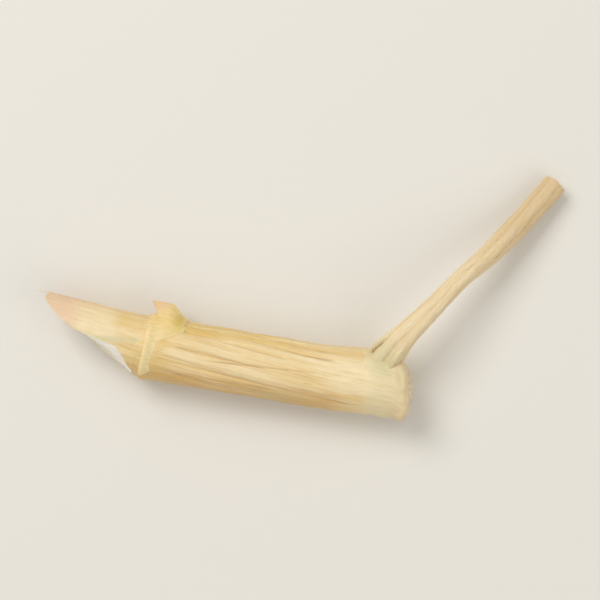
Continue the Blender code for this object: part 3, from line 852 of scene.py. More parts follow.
grow = add_node(fibre_tree, "GeometryNodeInputNamedAttribute", {"Name": "grow"}, data_type="FLOAT_VECTOR")
reach = add_node(fibre_tree, "GeometryNodeInputNamedAttribute", {"Name": "reach"}, data_type="FLOAT")
scatter = add_node(fibre_tree, "FunctionNodeRandomValue", {
    0: (-1.0, -1.0, -1.0), 1: (1.0, 1.0, 1.0), "Seed": given["Seed"],
}, data_type="FLOAT_VECTOR")
splayed = add_node(fibre_tree, "ShaderNodeVectorMath", {
    0: scatter, 1: given["Splay"], 2: grow,
}, operation="MULTIPLY_ADD")
aimed = add_node(fibre_tree, "FunctionNodeAlignRotationToVector", {"Vector": splayed}, axis="Z")
turn = add_node(fibre_tree, "FunctionNodeRandomValue", {
    2: 0.0, 3: math.tau, "Seed": given["Seed"],
}, data_type="FLOAT")
spin = add_node(fibre_tree, "FunctionNodeAxisAngleToRotation", {
    "Axis": (0.0, 0.0, 1.0), "Angle": turn.outputs[1],
})
turned = add_node(fibre_tree, "FunctionNodeRotateRotation", {
    "Rotation": aimed, "Rotate By": spin,
}, rotation_space="LOCAL")
choice = add_node(fibre_tree, "FunctionNodeRandomValue", {
    4: 0, 5: len(FIBRE_BENDS) - 1, "Seed": given["Seed"],
}, data_type="INT")
placed = add_node(fibre_tree, "GeometryNodeInstanceOnPoints", {
    "Points": anchors,
    "Instance": shapes,
    "Pick Instance": True,
    "Instance Index": choice.outputs[2],
    "Rotation": turned,
    "Scale": reach,
})
finish_tree(fibre_tree, placed, given["Material"], result)

# Dry fibre: bleached strands of the stem's wall, straw white and matt
fibre_finish, tree = new_material("dry_stem_fibre", "#EDDDB4", {"Roughness": 0.75, "IOR": 1.45})
object_place = add_node(tree, "ShaderNodeTexCoord").outputs["Object"]
mottle = grain_pattern(tree, object_place, 0.25 * MM, 0.25 * MM, 2.0)
stained(tree, "#F0E3C2", ((mottle, 0.40, 0.70, 0.8, "#DCC08A"),))


def add_fibres(name, anchors, slimness, splay, seed):
    """Piece of fibres on anchors, each a point, the direction it grows in, and its reach."""
    return grown(name, [point for point, _, _ in anchors], [], (
        ("grow", "FLOAT_VECTOR", "vector", [number for _, direction, _ in anchors for number in direction]),
        ("reach", "FLOAT", "value", [length for _, _, length in anchors]),
    ), fibre_tree, {"Slimness": slimness, "Splay": splay, "Seed": seed, "Material": fibre_finish})


FIBRE_COUNT = 130
FIBRE_LENGTHS = (0.06 * MM, 0.30 * MM)
FIBRE_LOWEST_Z = 0.1 * MM
TIP_FIBRE_DIRECTION = Vector((-0.95, 0.29, 0.10))
TIP_FIBRE_LENGTH = 0.42 * MM
TIP_FIBRE_SET_BACK = Vector((0.03 * MM, 0.0, 0.0))
draws = random.Random(11)
stem_anchors = []
for number in range(FIBRE_COUNT):
    phase = math.tau * (number + draws.random()) / FIBRE_COUNT
    x, point = cut_station(phase, draws.uniform(0.35, 1.0))
    angle = column_angle(x, phase)
    direction = Vector((-1.0, 0.25 * math.cos(angle), 0.25 * math.sin(angle)))
    length = draws.uniform(*FIBRE_LENGTHS) * draws.random()
    stem_anchors.append((point, direction, max(length, FIBRE_LENGTHS[0])))
for number in range(FIBRE_COUNT):
    phase = math.tau * (number + draws.random()) / FIBRE_COUNT
    point, _ = broken_point(min(break_edge(phase) + draws.uniform(-0.01, 0.12), 0.99), phase)
    direction = (point - crown_centre).normalized() + Vector((0.5, 0.0, 0.0))
    length = draws.uniform(*FIBRE_LENGTHS) * draws.random()
    if point.z > FIBRE_LOWEST_Z:
        stem_anchors.append((point, direction, max(length, FIBRE_LENGTHS[0])))
tip_point = min(stem.points, key=lambda point: point.x)
stem_anchors.append((tip_point + TIP_FIBRE_SET_BACK, TIP_FIBRE_DIRECTION, TIP_FIBRE_LENGTH))
torn_fibres = add_fibres("torn_fibres", stem_anchors, 0.045, 0.28, 5)
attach(torn_fibres, "root")

# Vascular bundles. The stem's veins, tough strings that run along its wall: the slanting cut shows
# their ends as small tan dots, standing a little proud of the softer tissue that shrank round them.
bundle_tree, given, result = new_geometry_tree("vascular_bundles", {
    "Sides": "Int", "Height": "Float", "Material": "Material",
})
stub = add_node(bundle_tree, "GeometryNodeMeshCone", {
    "Vertices": given["Sides"], "Radius Top": 0.62, "Radius Bottom": 1.0, "Depth": given["Height"],
})
anchors = add_node(bundle_tree, "GeometryNodeMeshToPoints", {"Mesh": given["Geometry"]})
grow = add_node(bundle_tree, "GeometryNodeInputNamedAttribute", {"Name": "grow"}, data_type="FLOAT_VECTOR")
reach = add_node(bundle_tree, "GeometryNodeInputNamedAttribute", {"Name": "reach"}, data_type="FLOAT")
aimed = add_node(bundle_tree, "FunctionNodeAlignRotationToVector", {"Vector": grow}, axis="Z")
placed = add_node(bundle_tree, "GeometryNodeInstanceOnPoints", {
    "Points": anchors, "Instance": stub, "Rotation": aimed, "Scale": reach,
})
finish_tree(bundle_tree, placed, given["Material"], result, smooth=False)

# Woody bundle: lignified vessels, tan and matt
bundle_finish, tree = new_material("woody_bundle", "#C7A36C", {"Roughness": 0.8, "IOR": 1.45})
object_place = add_node(tree, "ShaderNodeTexCoord").outputs["Object"]
mottle = grain_pattern(tree, object_place, 0.08 * MM, 0.08 * MM, 2.0)
stained(tree, "#D4B47C", ((mottle, 0.40, 0.70, 0.8, "#A98250"),))

# Rows of bundles: count, place in the wall, radius, and the most that the wall may be torn there
BUNDLE_ROWS = ((14, 0.34, 0.040 * MM, 0.5), (24, 0.72, 0.028 * MM, 0.2))
SLOPE_STEP = 0.02 * MM


def cut_slope(point, step_y, step_z):
    """Slope of the cut's face at a point, along a small step across or up."""
    ahead = cut_x(point.y + step_y, point.z + step_z)
    return (ahead - cut_x(point.y - step_y, point.z - step_z)) / (2.0 * SLOPE_STEP)


bundle_points, bundle_directions, bundle_sizes = [], [], []
for count, wall_share, size, most_peel in BUNDLE_ROWS:
    for number in range(count):
        phase = math.tau * (number + 0.3 * draws.random()) / count
        x, point = cut_station(phase, wall_share)
        if peel(x, phase, column_angle(x, phase), 1.0) > most_peel * PEEL_LENGTH:
            continue
        bundle_points.append(point)
        bundle_directions.extend((-1.0, cut_slope(point, SLOPE_STEP, 0.0), cut_slope(point, 0.0, SLOPE_STEP)))
        bundle_sizes.append(size * draws.uniform(0.8, 1.2))
vascular_bundles = grown("vascular_bundles", bundle_points, [], (
    ("grow", "FLOAT_VECTOR", "vector", bundle_directions),
    ("reach", "FLOAT", "value", bundle_sizes),
), bundle_tree, {"Sides": 9, "Height": 0.5, "Material": bundle_finish})
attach(vascular_bundles, "root")


# Torn scale leaf. The papery leaf that clasped the left node, torn down to a narrow collar with
# one ear that stands off at the back. It is a thin veined blade that grew out of the ring.
LEAF_ROOT_GAP = -0.045 * MM
LEAF_GAP = 0.020 * MM
LEAF_EDGE_GAP = -0.007 * MM
LEAF_FREE_ANGLE = math.radians(8.0)
LEAF_FAR_ANGLE = math.radians(166.0)
LEAF_WANING = math.radians(36.0)
LEAF_BASE_OFFSET = -0.09 * MM
LEAF_BASE_THICKNESS = 0.060 * MM
LEAF_EDGE_THICKNESS = 0.012 * MM
COLLAR_LENGTH = 0.37 * MM
COLLAR_TEARS = ((9, 0.07, 0.5), (17, 0.035, 0.0))
FINE_TEAR = 0.05
FINE_TEAR_WIDTH = math.radians(2.2)
EAR_HINGE_ANGLE = math.radians(58.0)
EAR_FULL_ANGLE = math.radians(42.0)
EAR_END_ANGLE = math.radians(84.0)
EAR_START = 0.07 * MM
EAR_LENGTH = 0.86 * MM
EAR_LIFT = 0.49 * MM
EAR_RISE = 0.17
EAR_FALL = 0.85
EAR_FALL_START = 0.40
EAR_POINT = 0.47 * MM
VEIN_SPACING = math.radians(6.1)
VEIN_HEIGHT = 0.004 * MM
LEAF_WRINKLE = 0.035 * MM
LEAF_WRINKLE_LENGTH = 0.35 * MM
LEAF_COLUMNS = 300
LEAF_ROWS = 64


def leaf_point(angle, share, depth):
    """Point of the leaf at an angle, a share of its length, and a depth from inside to outside."""
    ear = 1.0 - smooth_step(EAR_FULL_ANGLE, EAR_END_ANGLE, angle)
    fine_tear = FINE_TEAR * noise.noise(Vector((angle / FINE_TEAR_WIDTH, 0.0, 0.0)))
    tear = 1.0 + waves(COLLAR_TEARS, angle) + fine_tear
    waning = smooth_step(LEAF_FAR_ANGLE, LEAF_FAR_ANGLE - LEAF_WANING, angle)
    length = COLLAR_LENGTH * tear * (0.35 + 0.65 * waning) + EAR_LENGTH * ear
    x = LEFT_NODE_X + LEAF_BASE_OFFSET + share * length
    free = max((x - LEFT_NODE_X - EAR_START) / (length + LEAF_BASE_OFFSET - EAR_START), 0.0)
    outward = max((EAR_HINGE_ANGLE - angle) / (EAR_HINGE_ANGLE - LEAF_FREE_ANGLE), 0.0)
    opening = smooth_step(0.0, EAR_RISE, free) * (1.0 - EAR_FALL * smooth_step(EAR_FALL_START, 1.0, free))
    raised = EAR_LIFT * outward ** 1.3 * opening
    gap = LEAF_GAP + (LEAF_ROOT_GAP - LEAF_GAP) * smooth_step(0.18, 0.0, share)
    gap += (LEAF_EDGE_GAP - LEAF_GAP) * smooth_step(0.3, 1.0, share)
    gap += (LEAF_ROOT_GAP - gap) * (1.0 - waning) ** 2
    thickness = LEAF_BASE_THICKNESS + (LEAF_EDGE_THICKNESS - LEAF_BASE_THICKNESS) * share ** 0.55
    thickness *= 0.3 + 0.7 * waning
    vein = VEIN_HEIGHT * math.cos(math.tau * angle / VEIN_SPACING) * depth * (1.0 - 0.6 * share)
    wrinkle = noise.noise(Vector((angle * 6.0, share * length / LEAF_WRINKLE_LENGTH, 4.0)))
    wrinkle *= LEAF_WRINKLE * share * (0.25 + 0.75 * outward)
    radius = smooth_radius(x, angle) + gap + raised + depth * thickness + vein + wrinkle
    point = stem_point(x, angle, radius)
    point.x -= EAR_POINT * outward ** 2 * bell(free, 1.3 * EAR_RISE, 0.6 * EAR_RISE)
    return point, Vector((angle * LONG_INTERNODE_RADIUS, depth * thickness, x))


def leaf_marks(angle, share, point):
    """Vein, base, blush and edge of the leaf, then its green and gold."""
    vein = 0.5 + 0.5 * math.cos(math.tau * angle / VEIN_SPACING)
    base = smooth_step(LEFT_NODE_X + 0.9 * MM, LEFT_NODE_X + 0.2 * MM, point.x)
    base *= smooth_step(math.radians(40.0), math.radians(70.0), angle)
    blush = bell(point.x, -3.60 * MM, 0.30 * MM) * bell(point.y, 1.52 * MM, 0.28 * MM)
    edge = smooth_step(0.80, 1.0, share)
    green = bell(point.x, -2.80 * MM, 0.36 * MM) * bell(point.y, 1.00 * MM, 0.33 * MM)
    gold = bell(point.x, -3.30 * MM, 0.55 * MM) * bell(point.y, 1.15 * MM, 0.45 * MM)
    return (vein, base, blush, edge), (green, gold, 0.0, 0.0)


leaf = Surface()
for depth in (0.0, 1.0):
    for column in range(LEAF_COLUMNS + 1):
        angle = LEAF_FREE_ANGLE + (LEAF_FAR_ANGLE - LEAF_FREE_ANGLE) * (column / LEAF_COLUMNS) ** 1.25
        for row in range(LEAF_ROWS + 1):
            share = (row / LEAF_ROWS) ** 1.2
            point, place = leaf_point(angle, share, depth)
            leaf.vertex(point, place, *leaf_marks(angle, share, point))


def leaf_index(sheet, column, row):
    """Number of a vertex of the leaf: sheet 0 is the inside, 1 the outside."""
    return (sheet * (LEAF_COLUMNS + 1) + column) * (LEAF_ROWS + 1) + row


def close_leaf_edge(start, end, turned):
    """Face between the leaf's two sheets along its edge, from one column and row to the next."""
    strip = [leaf_index(0, *start), leaf_index(1, *start), leaf_index(1, *end), leaf_index(0, *end)]
    leaf.face(strip[::-1] if turned else strip)


for column in range(LEAF_COLUMNS):
    for row in range(LEAF_ROWS):
        corners = [(column, row), (column + 1, row), (column + 1, row + 1), (column, row + 1)]
        leaf.face([leaf_index(1, *corner) for corner in reversed(corners)])
        leaf.face([leaf_index(0, *corner) for corner in corners])
    close_leaf_edge((column, 0), (column + 1, 0), True)
    close_leaf_edge((column, LEAF_ROWS), (column + 1, LEAF_ROWS), False)
for row in range(LEAF_ROWS):
    close_leaf_edge((0, row), (0, row + 1), False)
    close_leaf_edge((LEAF_COLUMNS, row), (LEAF_COLUMNS, row + 1), True)

# Dry scale leaf: papery dead leaf, straw yellow, thin enough for light to glow through it.
# Its veins are paler lines and its torn edge is bleached.
papery, tree = new_material("dry_papery_leaf", "#E8CF90", {
    "IOR": 1.45,
    "Roughness": 0.60,
    "Subsurface Weight": 0.1,
    "Subsurface Radius": (1.0, 0.8, 0.5),
    "Subsurface Scale": 0.03 * MM,
})
grain_place = add_node(tree, "ShaderNodeAttribute", attribute_name="grain").outputs["Vector"]
veins, base, blush, edge = painted(tree, "marks")
green, gold, _, _ = painted(tree, "tints")
mottle = grain_pattern(tree, grain_place, 0.30 * MM, 0.5 * MM, 3.0)
strings = grain_pattern(tree, grain_place, 0.06 * MM, 1.2 * MM, 2.0)
fibres = grain_pattern(tree, grain_place, 0.03 * MM, 0.5 * MM, 2.0)
stained(tree, "#EED69A", (
    (mottle, 0.38, 0.70, 0.65, "#DDBC7C"),
    (veins, 0.5, 1.0, 0.20, "#F4E4B6"),
    (strings, 0.54, 0.74, 0.45, "#CBA462"),
    (base, 0.0, 1.0, 0.80, "#F1DBA4"),
    (gold, 0.0, 1.0, 0.45, "#EBCC82"),
    (green, 0.0, 1.0, 0.75, "#D6BC5E"),
    (edge, 0.0, 1.0, 0.15, "#F0E0B4"),
    (blush, 0.0, 1.0, 0.55, "#E8BE9C"),
    (fibres, 0.55, 0.76, 0.45, "#C39A5A"),
))
embossed(tree, strings, fibres, 0.014 * MM)

torn_scale_leaf = add_piece("torn_scale_leaf", leaf, (papery,))
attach(torn_scale_leaf, "root")
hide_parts("scale_leaf")

# Leaf-edge fibres. The leaf's veins, which its tearing left standing out of the edge as short hairs
LEAF_FIBRE_COUNT = 90
LEAF_FIBRE_LENGTHS = (0.05 * MM, 0.18 * MM)
leaf_anchors = []
for number in range(LEAF_FIBRE_COUNT):
    place = number + draws.random()
    angle = LEAF_FREE_ANGLE + (LEAF_FAR_ANGLE - LEAF_FREE_ANGLE) * place / LEAF_FIBRE_COUNT
    point, _ = leaf_point(angle, 1.0, 0.5)
    leaf_anchors.append((point, Vector((1.0, 0.0, 0.0)), draws.uniform(*LEAF_FIBRE_LENGTHS)))
leaf_fibres = add_fibres("leaf_fibres", leaf_anchors, 0.05, 0.22, 8)
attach(leaf_fibres, "root")


# Grooved rootlet. The one root left on the piece: a wiry cord that shrivelled as it dried, so it
# is grooved and wrinkled. It grew out through the skin of the right node, where its base splits
# into strands that lie on the node, and its far tip was cut square, with its core standing out.
ROOTLET_ROUTE = (
    Vector((4.02, 0.62, 1.30)) * MM,
    Vector((4.62, 1.72, 1.72)) * MM,
    Vector((5.50, 2.95, 1.72)) * MM,
    Vector((6.29, 4.08, 1.45)) * MM,
    Vector((7.15, 5.10, 1.08)) * MM,
    Vector((8.08, 6.38, 0.68)) * MM,
    Vector((9.03, 7.84, 0.35)) * MM,
)
ROOTLET_RADIUS = 0.365 * MM
ROOTLET_START = 0.06
ROOTLET_ROWS = 400
ROOTLET_COLUMNS = 96
GROOVE_COUNT = 5
GROOVE_DEPTH = 0.075
GROOVE_TURN = 1.2
WAVE_DEPTH = 0.10
WAVE_TURNS = 9.0
WAVE_START = 0.6
ROOT_WRINKLE_HEIGHT = 0.075 * MM
ROOT_WRINKLE_WIDTH = 0.13 * MM
ROOT_WRINKLE_LENGTH = 0.6 * MM
TIP_FLARE = 0.14
TIP_FLARE_SHARE = 0.86
TIP_ROUNDING = (0.96, 0.88, 0.72, 0.50, 0.28)
TIP_STEP = 0.008 * MM
CORE_RADIUS = 0.13 * MM
CORE_REACH = 0.07 * MM
CORE_ROWS = 12

# Flaring base: how far along it reaches, its least swelling, and the count, height and turn of its
# folds
BASE_SHARE = 0.16
BASE_SWELLING = 0.12
FOLD_COUNT = 5
FOLD_HEIGHT = 0.50
FOLD_TURN = math.radians(90.0)

# Strands of the base: how far along the rootlet, to which side and how high each leaves it, where
# its toe lies along X and in degrees round the stem, and its radius
BASE_STRANDS = (
    (0.230, -0.19 * MM, 0.11 * MM, 3.76 * MM, 25.0, 0.125 * MM),
    (0.225, 0.00 * MM, 0.24 * MM, 4.10 * MM, 45.0, 0.105 * MM),
    (0.220, 0.21 * MM, 0.12 * MM, 4.46 * MM, 58.0, 0.125 * MM),
    (0.200, 0.22 * MM, -0.10 * MM, 4.92 * MM, 22.0, 0.110 * MM),
    (0.210, -0.10 * MM, -0.16 * MM, 4.20 * MM, -12.0, 0.110 * MM),
)
STRAND_ROWS = 48
STRAND_BEND = 0.55 * MM
STRAND_LANDING = 0.28 * MM
STRAND_SINK = 0.02 * MM


def route_point(share):
    """Point of the rootlet's smooth route (Catmull-Rom) at a share of its length."""
    spans = len(ROOTLET_ROUTE) - 1
    place = min(max(share, 0.0), 1.0) * spans
    index = min(int(place), spans - 1)
    local = place - index
    before = ROOTLET_ROUTE[max(index - 1, 0)]
    start = ROOTLET_ROUTE[index]
    end = ROOTLET_ROUTE[index + 1]
    after = ROOTLET_ROUTE[min(index + 2, spans)]
    pull = (end - before) * local + (2.0 * before - 5.0 * start + 4.0 * end - after) * local ** 2
    pull += (3.0 * start - before - 3.0 * end + after) * local ** 3
    return start + 0.5 * pull


def route_frame(share):
    """Forward, sideways and upward directions of the route."""
    forward = (route_point(share + 0.004) - route_point(share - 0.004)).normalized()
    across = forward.cross(Vector((0.0, 0.0, 1.0))).normalized()
    return forward, across, across.cross(forward)


def rootlet_radius(share):
    """Radius of the rootlet, which waves a little and swells at its tip."""
    waving = 1.0 + WAVE_DEPTH * math.sin(WAVE_TURNS * share + WAVE_START)
    return ROOTLET_RADIUS * (waving + TIP_FLARE * smooth_step(TIP_FLARE_SHARE, 1.0, share))


def strand_points(leaving, side, rise, toe_x, toe_degrees):
    """Line of a base strand: it leaves the rootlet, lies down on the node and sinks in at its toe."""
    forward, across, upward = route_frame(leaving)
    heel = route_point(leaving) + side * across + rise * upward
    toe_angle = math.radians(toe_degrees)
    outward = Vector((0.0, math.cos(toe_angle), math.sin(toe_angle)))
    toe = stem_point(toe_x, toe_angle, smooth_radius(toe_x, toe_angle))
    bend = heel - STRAND_BEND * forward
    landing = toe + STRAND_LANDING * outward + 0.22 * (heel - toe)
    line = []
    for row in range(STRAND_ROWS + 1):
        share = row / STRAND_ROWS
        rest = 1.0 - share
        point = rest ** 3 * heel + 3.0 * rest ** 2 * share * bend + 3.0 * rest * share ** 2 * landing
        line.append(point + share ** 3 * (toe - STRAND_SINK * outward))
    return line


# Lines for the cords to follow, with what each of their points keeps: its share of the line, the
# cord's radius, whether it belongs to the core or a strand, and how fully the base flares there
route_points, route_edges = [], []
route_values = {"share": [], "size": [], "base": [], "flare": []}


def add_route(points, shares, sizes, base):
    """Add one line for a cord to follow, with a share of its length and a radius at each point."""
    first = len(route_points)
    route_points.extend(points)
    route_edges.extend((first + index, first + index + 1) for index in range(len(points) - 1))
    route_values["share"].extend(shares)
    route_values["size"].extend(sizes)
    route_values["base"].extend([base] * len(points))
    route_values["flare"].extend(bell(share, 0.0, BASE_SHARE) * (1.0 - base) for share in shares)


cord_shares = [ROOTLET_START + (1.0 - ROOTLET_START) * row / ROOTLET_ROWS for row in range(ROOTLET_ROWS + 1)]
cord_points = [route_point(share) for share in cord_shares]
cord_sizes = [rootlet_radius(share) for share in cord_shares]
tip_forward = route_frame(1.0)[0]
for number, narrowing in enumerate(TIP_ROUNDING):
    cord_points.append(route_point(1.0) + (number + 1) * TIP_STEP * tip_forward)
    cord_shares.append(1.0)
    cord_sizes.append(rootlet_radius(1.0) * narrowing)
add_route(cord_points, cord_shares, cord_sizes, 0.0)
core_reaches = [CORE_REACH * (2.0 * row / CORE_ROWS - 1.0) for row in range(CORE_ROWS + 1)]
core_points = [route_point(1.0) + reach * tip_forward for reach in core_reaches]
core_sizes = [
    CORE_RADIUS * (1.0 - 0.5 * smooth_step(0.75 * CORE_REACH, CORE_REACH, reach)) for reach in core_reaches
]
add_route(core_points, [1.0] * len(core_points), core_sizes, 1.0)
strand_shares = [row / STRAND_ROWS for row in range(STRAND_ROWS + 1)]
for *course, size in BASE_STRANDS:
    strand_sizes = [
        size * (1.1 - 0.55 * share) * (0.55 + 0.45 * smooth_step(0.0, 0.3, share)) for share in strand_shares
    ]
    add_route(strand_points(*course), strand_shares, strand_sizes, 1.0)
route_values["reach"] = [0.0]
for near, far in zip(route_points, route_points[1:]):
    route_values["reach"].append(route_values["reach"][-1] + (far - near).length)

# Tree: a grooved and wrinkled cord along each line
cord_tree, given, result = new_geometry_tree("grooved_cord", {
    "Columns": "Int", "Grooves": "Float", "Groove Depth": "Float", "Groove Turn": "Float",
    "Folds": "Float", "Fold Height": "Float", "Fold Turn": "Float", "Base Swelling": "Float",
    "Wrinkle Height": "Float", "Wrinkle Width": "Float", "Wrinkle Length": "Float", "Material": "Material",
})
line = add_node(cord_tree, "GeometryNodeMeshToCurve", {"Mesh": given["Geometry"]})
line = add_node(cord_tree, "GeometryNodeSetCurveNormal", {"Curve": line}, mode="Z_UP")
share, size, flare, reach, angle = [
    add_node(cord_tree, "GeometryNodeInputNamedAttribute", {"Name": label}, data_type="FLOAT")
    for label in ("share", "size", "flare", "reach", "angle")
]
profile = add_node(cord_tree, "GeometryNodeCurvePrimitiveCircle", {
    "Resolution": given["Columns"], "Radius": 1.0,
})
column = add_node(cord_tree, "GeometryNodeInputIndex")
turn = add_node(cord_tree, "ShaderNodeMath", {0: column, 1: given["Columns"]}, operation="DIVIDE")
round_angle = add_node(cord_tree, "ShaderNodeMath", {0: turn, 1: math.tau}, operation="MULTIPLY")
marked = add_node(cord_tree, "GeometryNodeStoreNamedAttribute", {
    "Geometry": profile, "Name": "angle", "Value": round_angle,
}, data_type="FLOAT", domain="POINT")
tube = add_node(cord_tree, "GeometryNodeCurveToMesh", {
    "Curve": line, "Profile Curve": marked, "Scale": size, "Fill Caps": True,
})

# Crests round the cord, first those between its grooves, then the folds of its base
twisted = add_node(cord_tree, "ShaderNodeMath", {
    0: share, 1: given["Groove Turn"], 2: angle,
}, operation="MULTIPLY_ADD")
folded = add_node(cord_tree, "ShaderNodeMath", {0: angle, 1: given["Fold Turn"]}, operation="SUBTRACT")
crests = []
for around, count in ((twisted, given["Grooves"]), (folded, given["Folds"])):
    half = add_node(cord_tree, "ShaderNodeMath", {0: count, 1: 0.5}, operation="MULTIPLY")
    swing = add_node(cord_tree, "ShaderNodeMath", {0: around, 1: half}, operation="MULTIPLY")
    cosine = add_node(cord_tree, "ShaderNodeMath", {0: swing}, operation="COSINE")
    crests.append(add_node(cord_tree, "ShaderNodeMath", {0: cosine}, operation="ABSOLUTE"))
groove = add_node(cord_tree, "ShaderNodeMath", {0: crests[0], 1: 3.0}, operation="POWER")
fold = add_node(cord_tree, "ShaderNodeMath", {
    0: crests[1], 1: given["Fold Height"], 2: given["Base Swelling"],
}, operation="MULTIPLY_ADD")
flared = add_node(cord_tree, "ShaderNodeMath", {0: fold, 1: flare}, operation="MULTIPLY")
spread = add_node(cord_tree, "ShaderNodeMath", {0: flared, 1: size}, operation="MULTIPLY")

# Place in the cord's unrolled bark, and the wrinkles that follow it
round_x = add_node(cord_tree, "ShaderNodeMath", {0: angle}, operation="COSINE")
round_y = add_node(cord_tree, "ShaderNodeMath", {0: angle}, operation="SINE")
place = add_node(cord_tree, "ShaderNodeCombineXYZ", {0: round_x, 1: round_y})
flat_grain = add_node(cord_tree, "ShaderNodeVectorMath", {
    0: place, "Scale": ROOTLET_RADIUS,
}, operation="SCALE")
lengthwise = add_node(cord_tree, "ShaderNodeCombineXYZ", {2: reach})
cord_grain = add_node(cord_tree, "ShaderNodeVectorMath", {0: flat_grain, 1: lengthwise}, operation="ADD")
with_grain = add_node(cord_tree, "GeometryNodeStoreNamedAttribute", {
    "Geometry": tube, "Name": "grain", "Value": cord_grain,
}, data_type="FLOAT_VECTOR", domain="POINT")
stretch = add_node(cord_tree, "ShaderNodeCombineXYZ", {
    0: given["Wrinkle Width"], 1: given["Wrinkle Width"], 2: given["Wrinkle Length"],
})
wrinkle_place = add_node(cord_tree, "ShaderNodeVectorMath", {0: cord_grain, 1: stretch}, operation="DIVIDE")
wrinkles = add_node(cord_tree, "ShaderNodeTexNoise", {
    "Vector": wrinkle_place, "Scale": 1.0, "Detail": 3.0, "Roughness": 0.55,
})
centred = add_node(cord_tree, "ShaderNodeMath", {0: wrinkles, 1: 0.5}, operation="SUBTRACT")
raised = add_node(cord_tree, "ShaderNodeMath", {
    0: centred, 1: given["Wrinkle Height"], 2: spread,
}, operation="MULTIPLY_ADD")
sunk = add_node(cord_tree, "ShaderNodeMath", {0: size, 1: given["Groove Depth"]}, operation="MULTIPLY")
groove_drop = add_node(cord_tree, "ShaderNodeMath", {0: sunk, 1: groove}, operation="MULTIPLY")
offset = add_node(cord_tree, "ShaderNodeMath", {0: raised, 1: groove_drop}, operation="SUBTRACT")
normal = add_node(cord_tree, "GeometryNodeInputNormal")
push = add_node(cord_tree, "ShaderNodeVectorMath", {0: normal, "Scale": offset}, operation="SCALE")
shaped = add_node(cord_tree, "GeometryNodeSetPosition", {"Geometry": with_grain, "Offset": push})

# Nothing of the cord lies below the table
where = add_node(cord_tree, "GeometryNodeInputPosition")
here_x, here_y, here_z = add_node(cord_tree, "ShaderNodeSeparateXYZ", {0: where}).outputs
above = add_node(cord_tree, "ShaderNodeMath", {0: here_z, 1: 0.0}, operation="MAXIMUM")
rested = add_node(cord_tree, "ShaderNodeCombineXYZ", {0: here_x, 1: here_y, 2: above})
lying = add_node(cord_tree, "GeometryNodeSetPosition", {"Geometry": shaped, "Position": rested})
with_groove = add_node(cord_tree, "GeometryNodeStoreNamedAttribute", {
    "Geometry": lying, "Name": "groove", "Value": groove,
}, data_type="FLOAT", domain="POINT")
finish_tree(cord_tree, with_groove, given["Material"], result)

# Dried rootlet bark: the shrunken outer cells of a grass root, dull pale tan, with painted shade in
# its grooves. It gives no shine, and fine lengthwise wrinkles.
bark, tree = new_material("dried_rootlet_bark", "#DFC79C", {
    "IOR": 1.45,
    "Roughness": 0.70,
    "Subsurface Weight": 0.04,
    "Subsurface Radius": (1.0, 0.6, 0.3),
    "Subsurface Scale": 0.10 * MM,
})
grain_place = add_node(tree, "ShaderNodeAttribute", attribute_name="grain").outputs["Vector"]
groove_mark, share_mark, base_mark, flare_mark = [
    add_node(tree, "ShaderNodeAttribute", attribute_name=label).outputs["Fac"]
    for label in ("groove", "share", "base", "flare")
]
patches = grain_pattern(tree, grain_place, 0.40 * MM, 1.4 * MM, 3.0)
streaks = grain_pattern(tree, grain_place, 0.07 * MM, 1.1 * MM, 3.0)
grit = grain_pattern(tree, grain_place, 0.035 * MM, 0.30 * MM, 2.0)
dashes = grain_pattern(tree, grain_place, 0.04 * MM, 0.16 * MM, 2.0)
dash_lines = add_node(tree, "ShaderNodeMapRange", {"Value": groove_mark, "From Min": 0.80, "From Max": 1.0})
dash_reach = add_node(tree, "ShaderNodeMapRange", {"Value": share_mark, "From Min": 0.35, "From Max": 0.55})
dash_places = add_node(tree, "ShaderNodeMath", {0: dash_lines, 1: dash_reach}, operation="MULTIPLY")
dash_marks = add_node(tree, "ShaderNodeMath", {0: dashes, 1: dash_places}, operation="MULTIPLY")
stained(tree, "#E9D3A9", (
    (patches, 0.42, 0.72, 0.50, "#DCBF92"),
    (streaks, 0.48, 0.72, 0.60, "#F4E5C4"),
    (grit, 0.56, 0.76, 0.40, "#BC9763"),
    # Painted shade in the grooves
    (groove_mark, 0.45, 1.0, 0.22, "#CDAB78"),
    (streaks, 0.42, 0.22, 0.35, "#CBA874"),
    (dash_marks, 0.42, 0.62, 0.65, "#8F6F45"),
    (share_mark, 0.50, 0.85, 0.55, "#CDAE80"),
    (flare_mark, 0.20, 0.80, 0.60, "#D2CBA2"),
    (base_mark, 0.0, 1.0, 0.75, "#EBDCB2"),
))
embossed(tree, streaks, grit, 0.018 * MM)

grooved_rootlet = grown("grooved_rootlet", route_points, route_edges, [
    (label, "FLOAT", "value", values) for label, values in route_values.items()
], cord_tree, {
    "Columns": ROOTLET_COLUMNS,
    "Grooves": float(GROOVE_COUNT),
    "Groove Depth": GROOVE_DEPTH,
    "Groove Turn": GROOVE_TURN,
    "Folds": float(FOLD_COUNT),
    "Fold Height": FOLD_HEIGHT,
    "Fold Turn": FOLD_TURN,
    "Base Swelling": BASE_SWELLING,
    "Wrinkle Height": ROOT_WRINKLE_HEIGHT,
    "Wrinkle Width": ROOT_WRINKLE_WIDTH,
    "Wrinkle Length": ROOT_WRINKLE_LENGTH,
    "Material": bark,
})
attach(grooved_rootlet, "root")
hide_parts("rootlet")

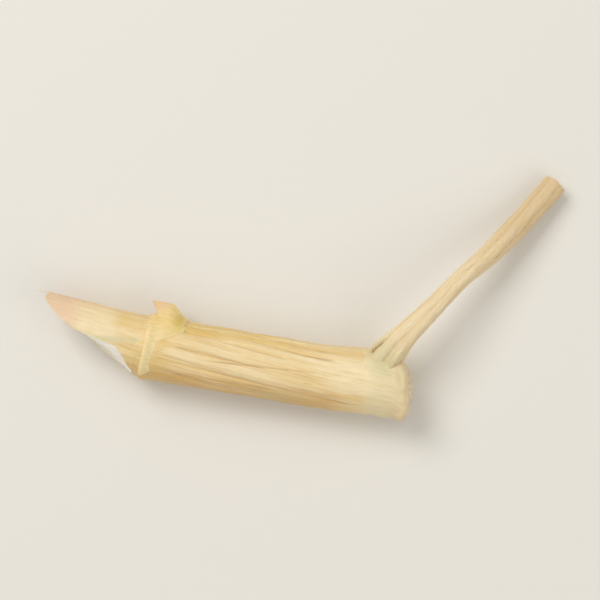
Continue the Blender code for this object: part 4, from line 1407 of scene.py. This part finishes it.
# Root hairs. The few fine hairs that the dried rootlet still has, lying back along its bark
HAIR_COUNT = 90
HAIR_LENGTHS = (0.07 * MM, 0.24 * MM)
HAIR_START = 0.22
HAIR_SPAN = 0.76
hair_anchors = []
for number in range(HAIR_COUNT):
    share = HAIR_START + HAIR_SPAN * (number + draws.random()) / HAIR_COUNT
    forward, across, upward = route_frame(share)
    turn = draws.uniform(0.0, math.tau)
    outward = math.cos(turn) * across + math.sin(turn) * upward
    point = route_point(share) + 0.94 * rootlet_radius(share) * outward
    length = draws.uniform(*HAIR_LENGTHS)
    if point.z > 1.5 * length:
        hair_anchors.append((point, 0.6 * outward + 0.9 * forward, length))
root_hairs = add_fibres("root_hairs", hair_anchors, 0.032, 0.35, 21)
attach(root_hairs, "root")


# Pale table, soft light from the upper left of the picture, and the camera straight above.
PICTURE_TURN = math.radians(9.5)
VIEW_WIDTH = 20.5 * MM
LENS = 135.0
SENSOR = 36.0
TABLE_HALF = 1.0
picture_right = Vector((math.cos(PICTURE_TURN), math.sin(PICTURE_TURN), 0.0))
picture_up = Vector((-math.sin(PICTURE_TURN), math.cos(PICTURE_TURN), 0.0))
view_centre = 1.4 * MM * picture_right + 2.25 * MM * picture_up + Vector((0.0, 0.0, 1.0 * MM))

# Pale card: matt uncoated paper board
card, tree = new_material("pale_card", "#E4E0D8", {"Roughness": 0.9})
top = Surface()
for side_x, side_y in ((-1, -1), (1, -1), (1, 1), (-1, 1)):
    top.vertex((side_x * TABLE_HALF, side_y * TABLE_HALF, 0.0))
top.face((0, 1, 2, 3))
table = add_piece("table", top, (card,))


def add_soft_light(name, right, up, height, size, power):
    """Square soft light that stands off from the piece by the picture's own directions."""
    lamp = bpy.data.lights.new(name, "AREA")
    lamp.size = size
    lamp.energy = power
    holder = bpy.data.objects.new(name, lamp)
    holder.location = view_centre + right * picture_right + up * picture_up + Vector((0.0, 0.0, height))
    holder.rotation_euler = (view_centre - holder.location).to_track_quat("-Z", "Y").to_euler()
    bpy.context.scene.collection.objects.link(holder)


add_soft_light("key", -70 * MM, 75 * MM, 120 * MM, 80 * MM, 0.135)
add_soft_light("fill", 80 * MM, -60 * MM, 90 * MM, 100 * MM, 0.04)

world = bpy.data.worlds.new("studio")
world.use_nodes = True
world.node_tree.nodes["Background"].inputs["Color"].default_value = linear("#FFFDF8")
world.node_tree.nodes["Background"].inputs["Strength"].default_value = 0.53
bpy.context.scene.world = world
bpy.context.scene.view_settings.view_transform = "Standard"

camera = bpy.data.objects.new("camera", bpy.data.cameras.new("camera"))
camera.data.lens = LENS
camera.data.sensor_width = SENSOR
distance = VIEW_WIDTH * LENS / SENSOR
camera.data.clip_start = 0.1 * distance
camera.data.clip_end = 10.0 * distance
camera.location = view_centre + Vector((0.0, 0.0, distance))
camera.rotation_euler = (0.0, 0.0, PICTURE_TURN)
bpy.context.scene.collection.objects.link(camera)
bpy.context.scene.camera = camera

bpy.context.view_layer.update()
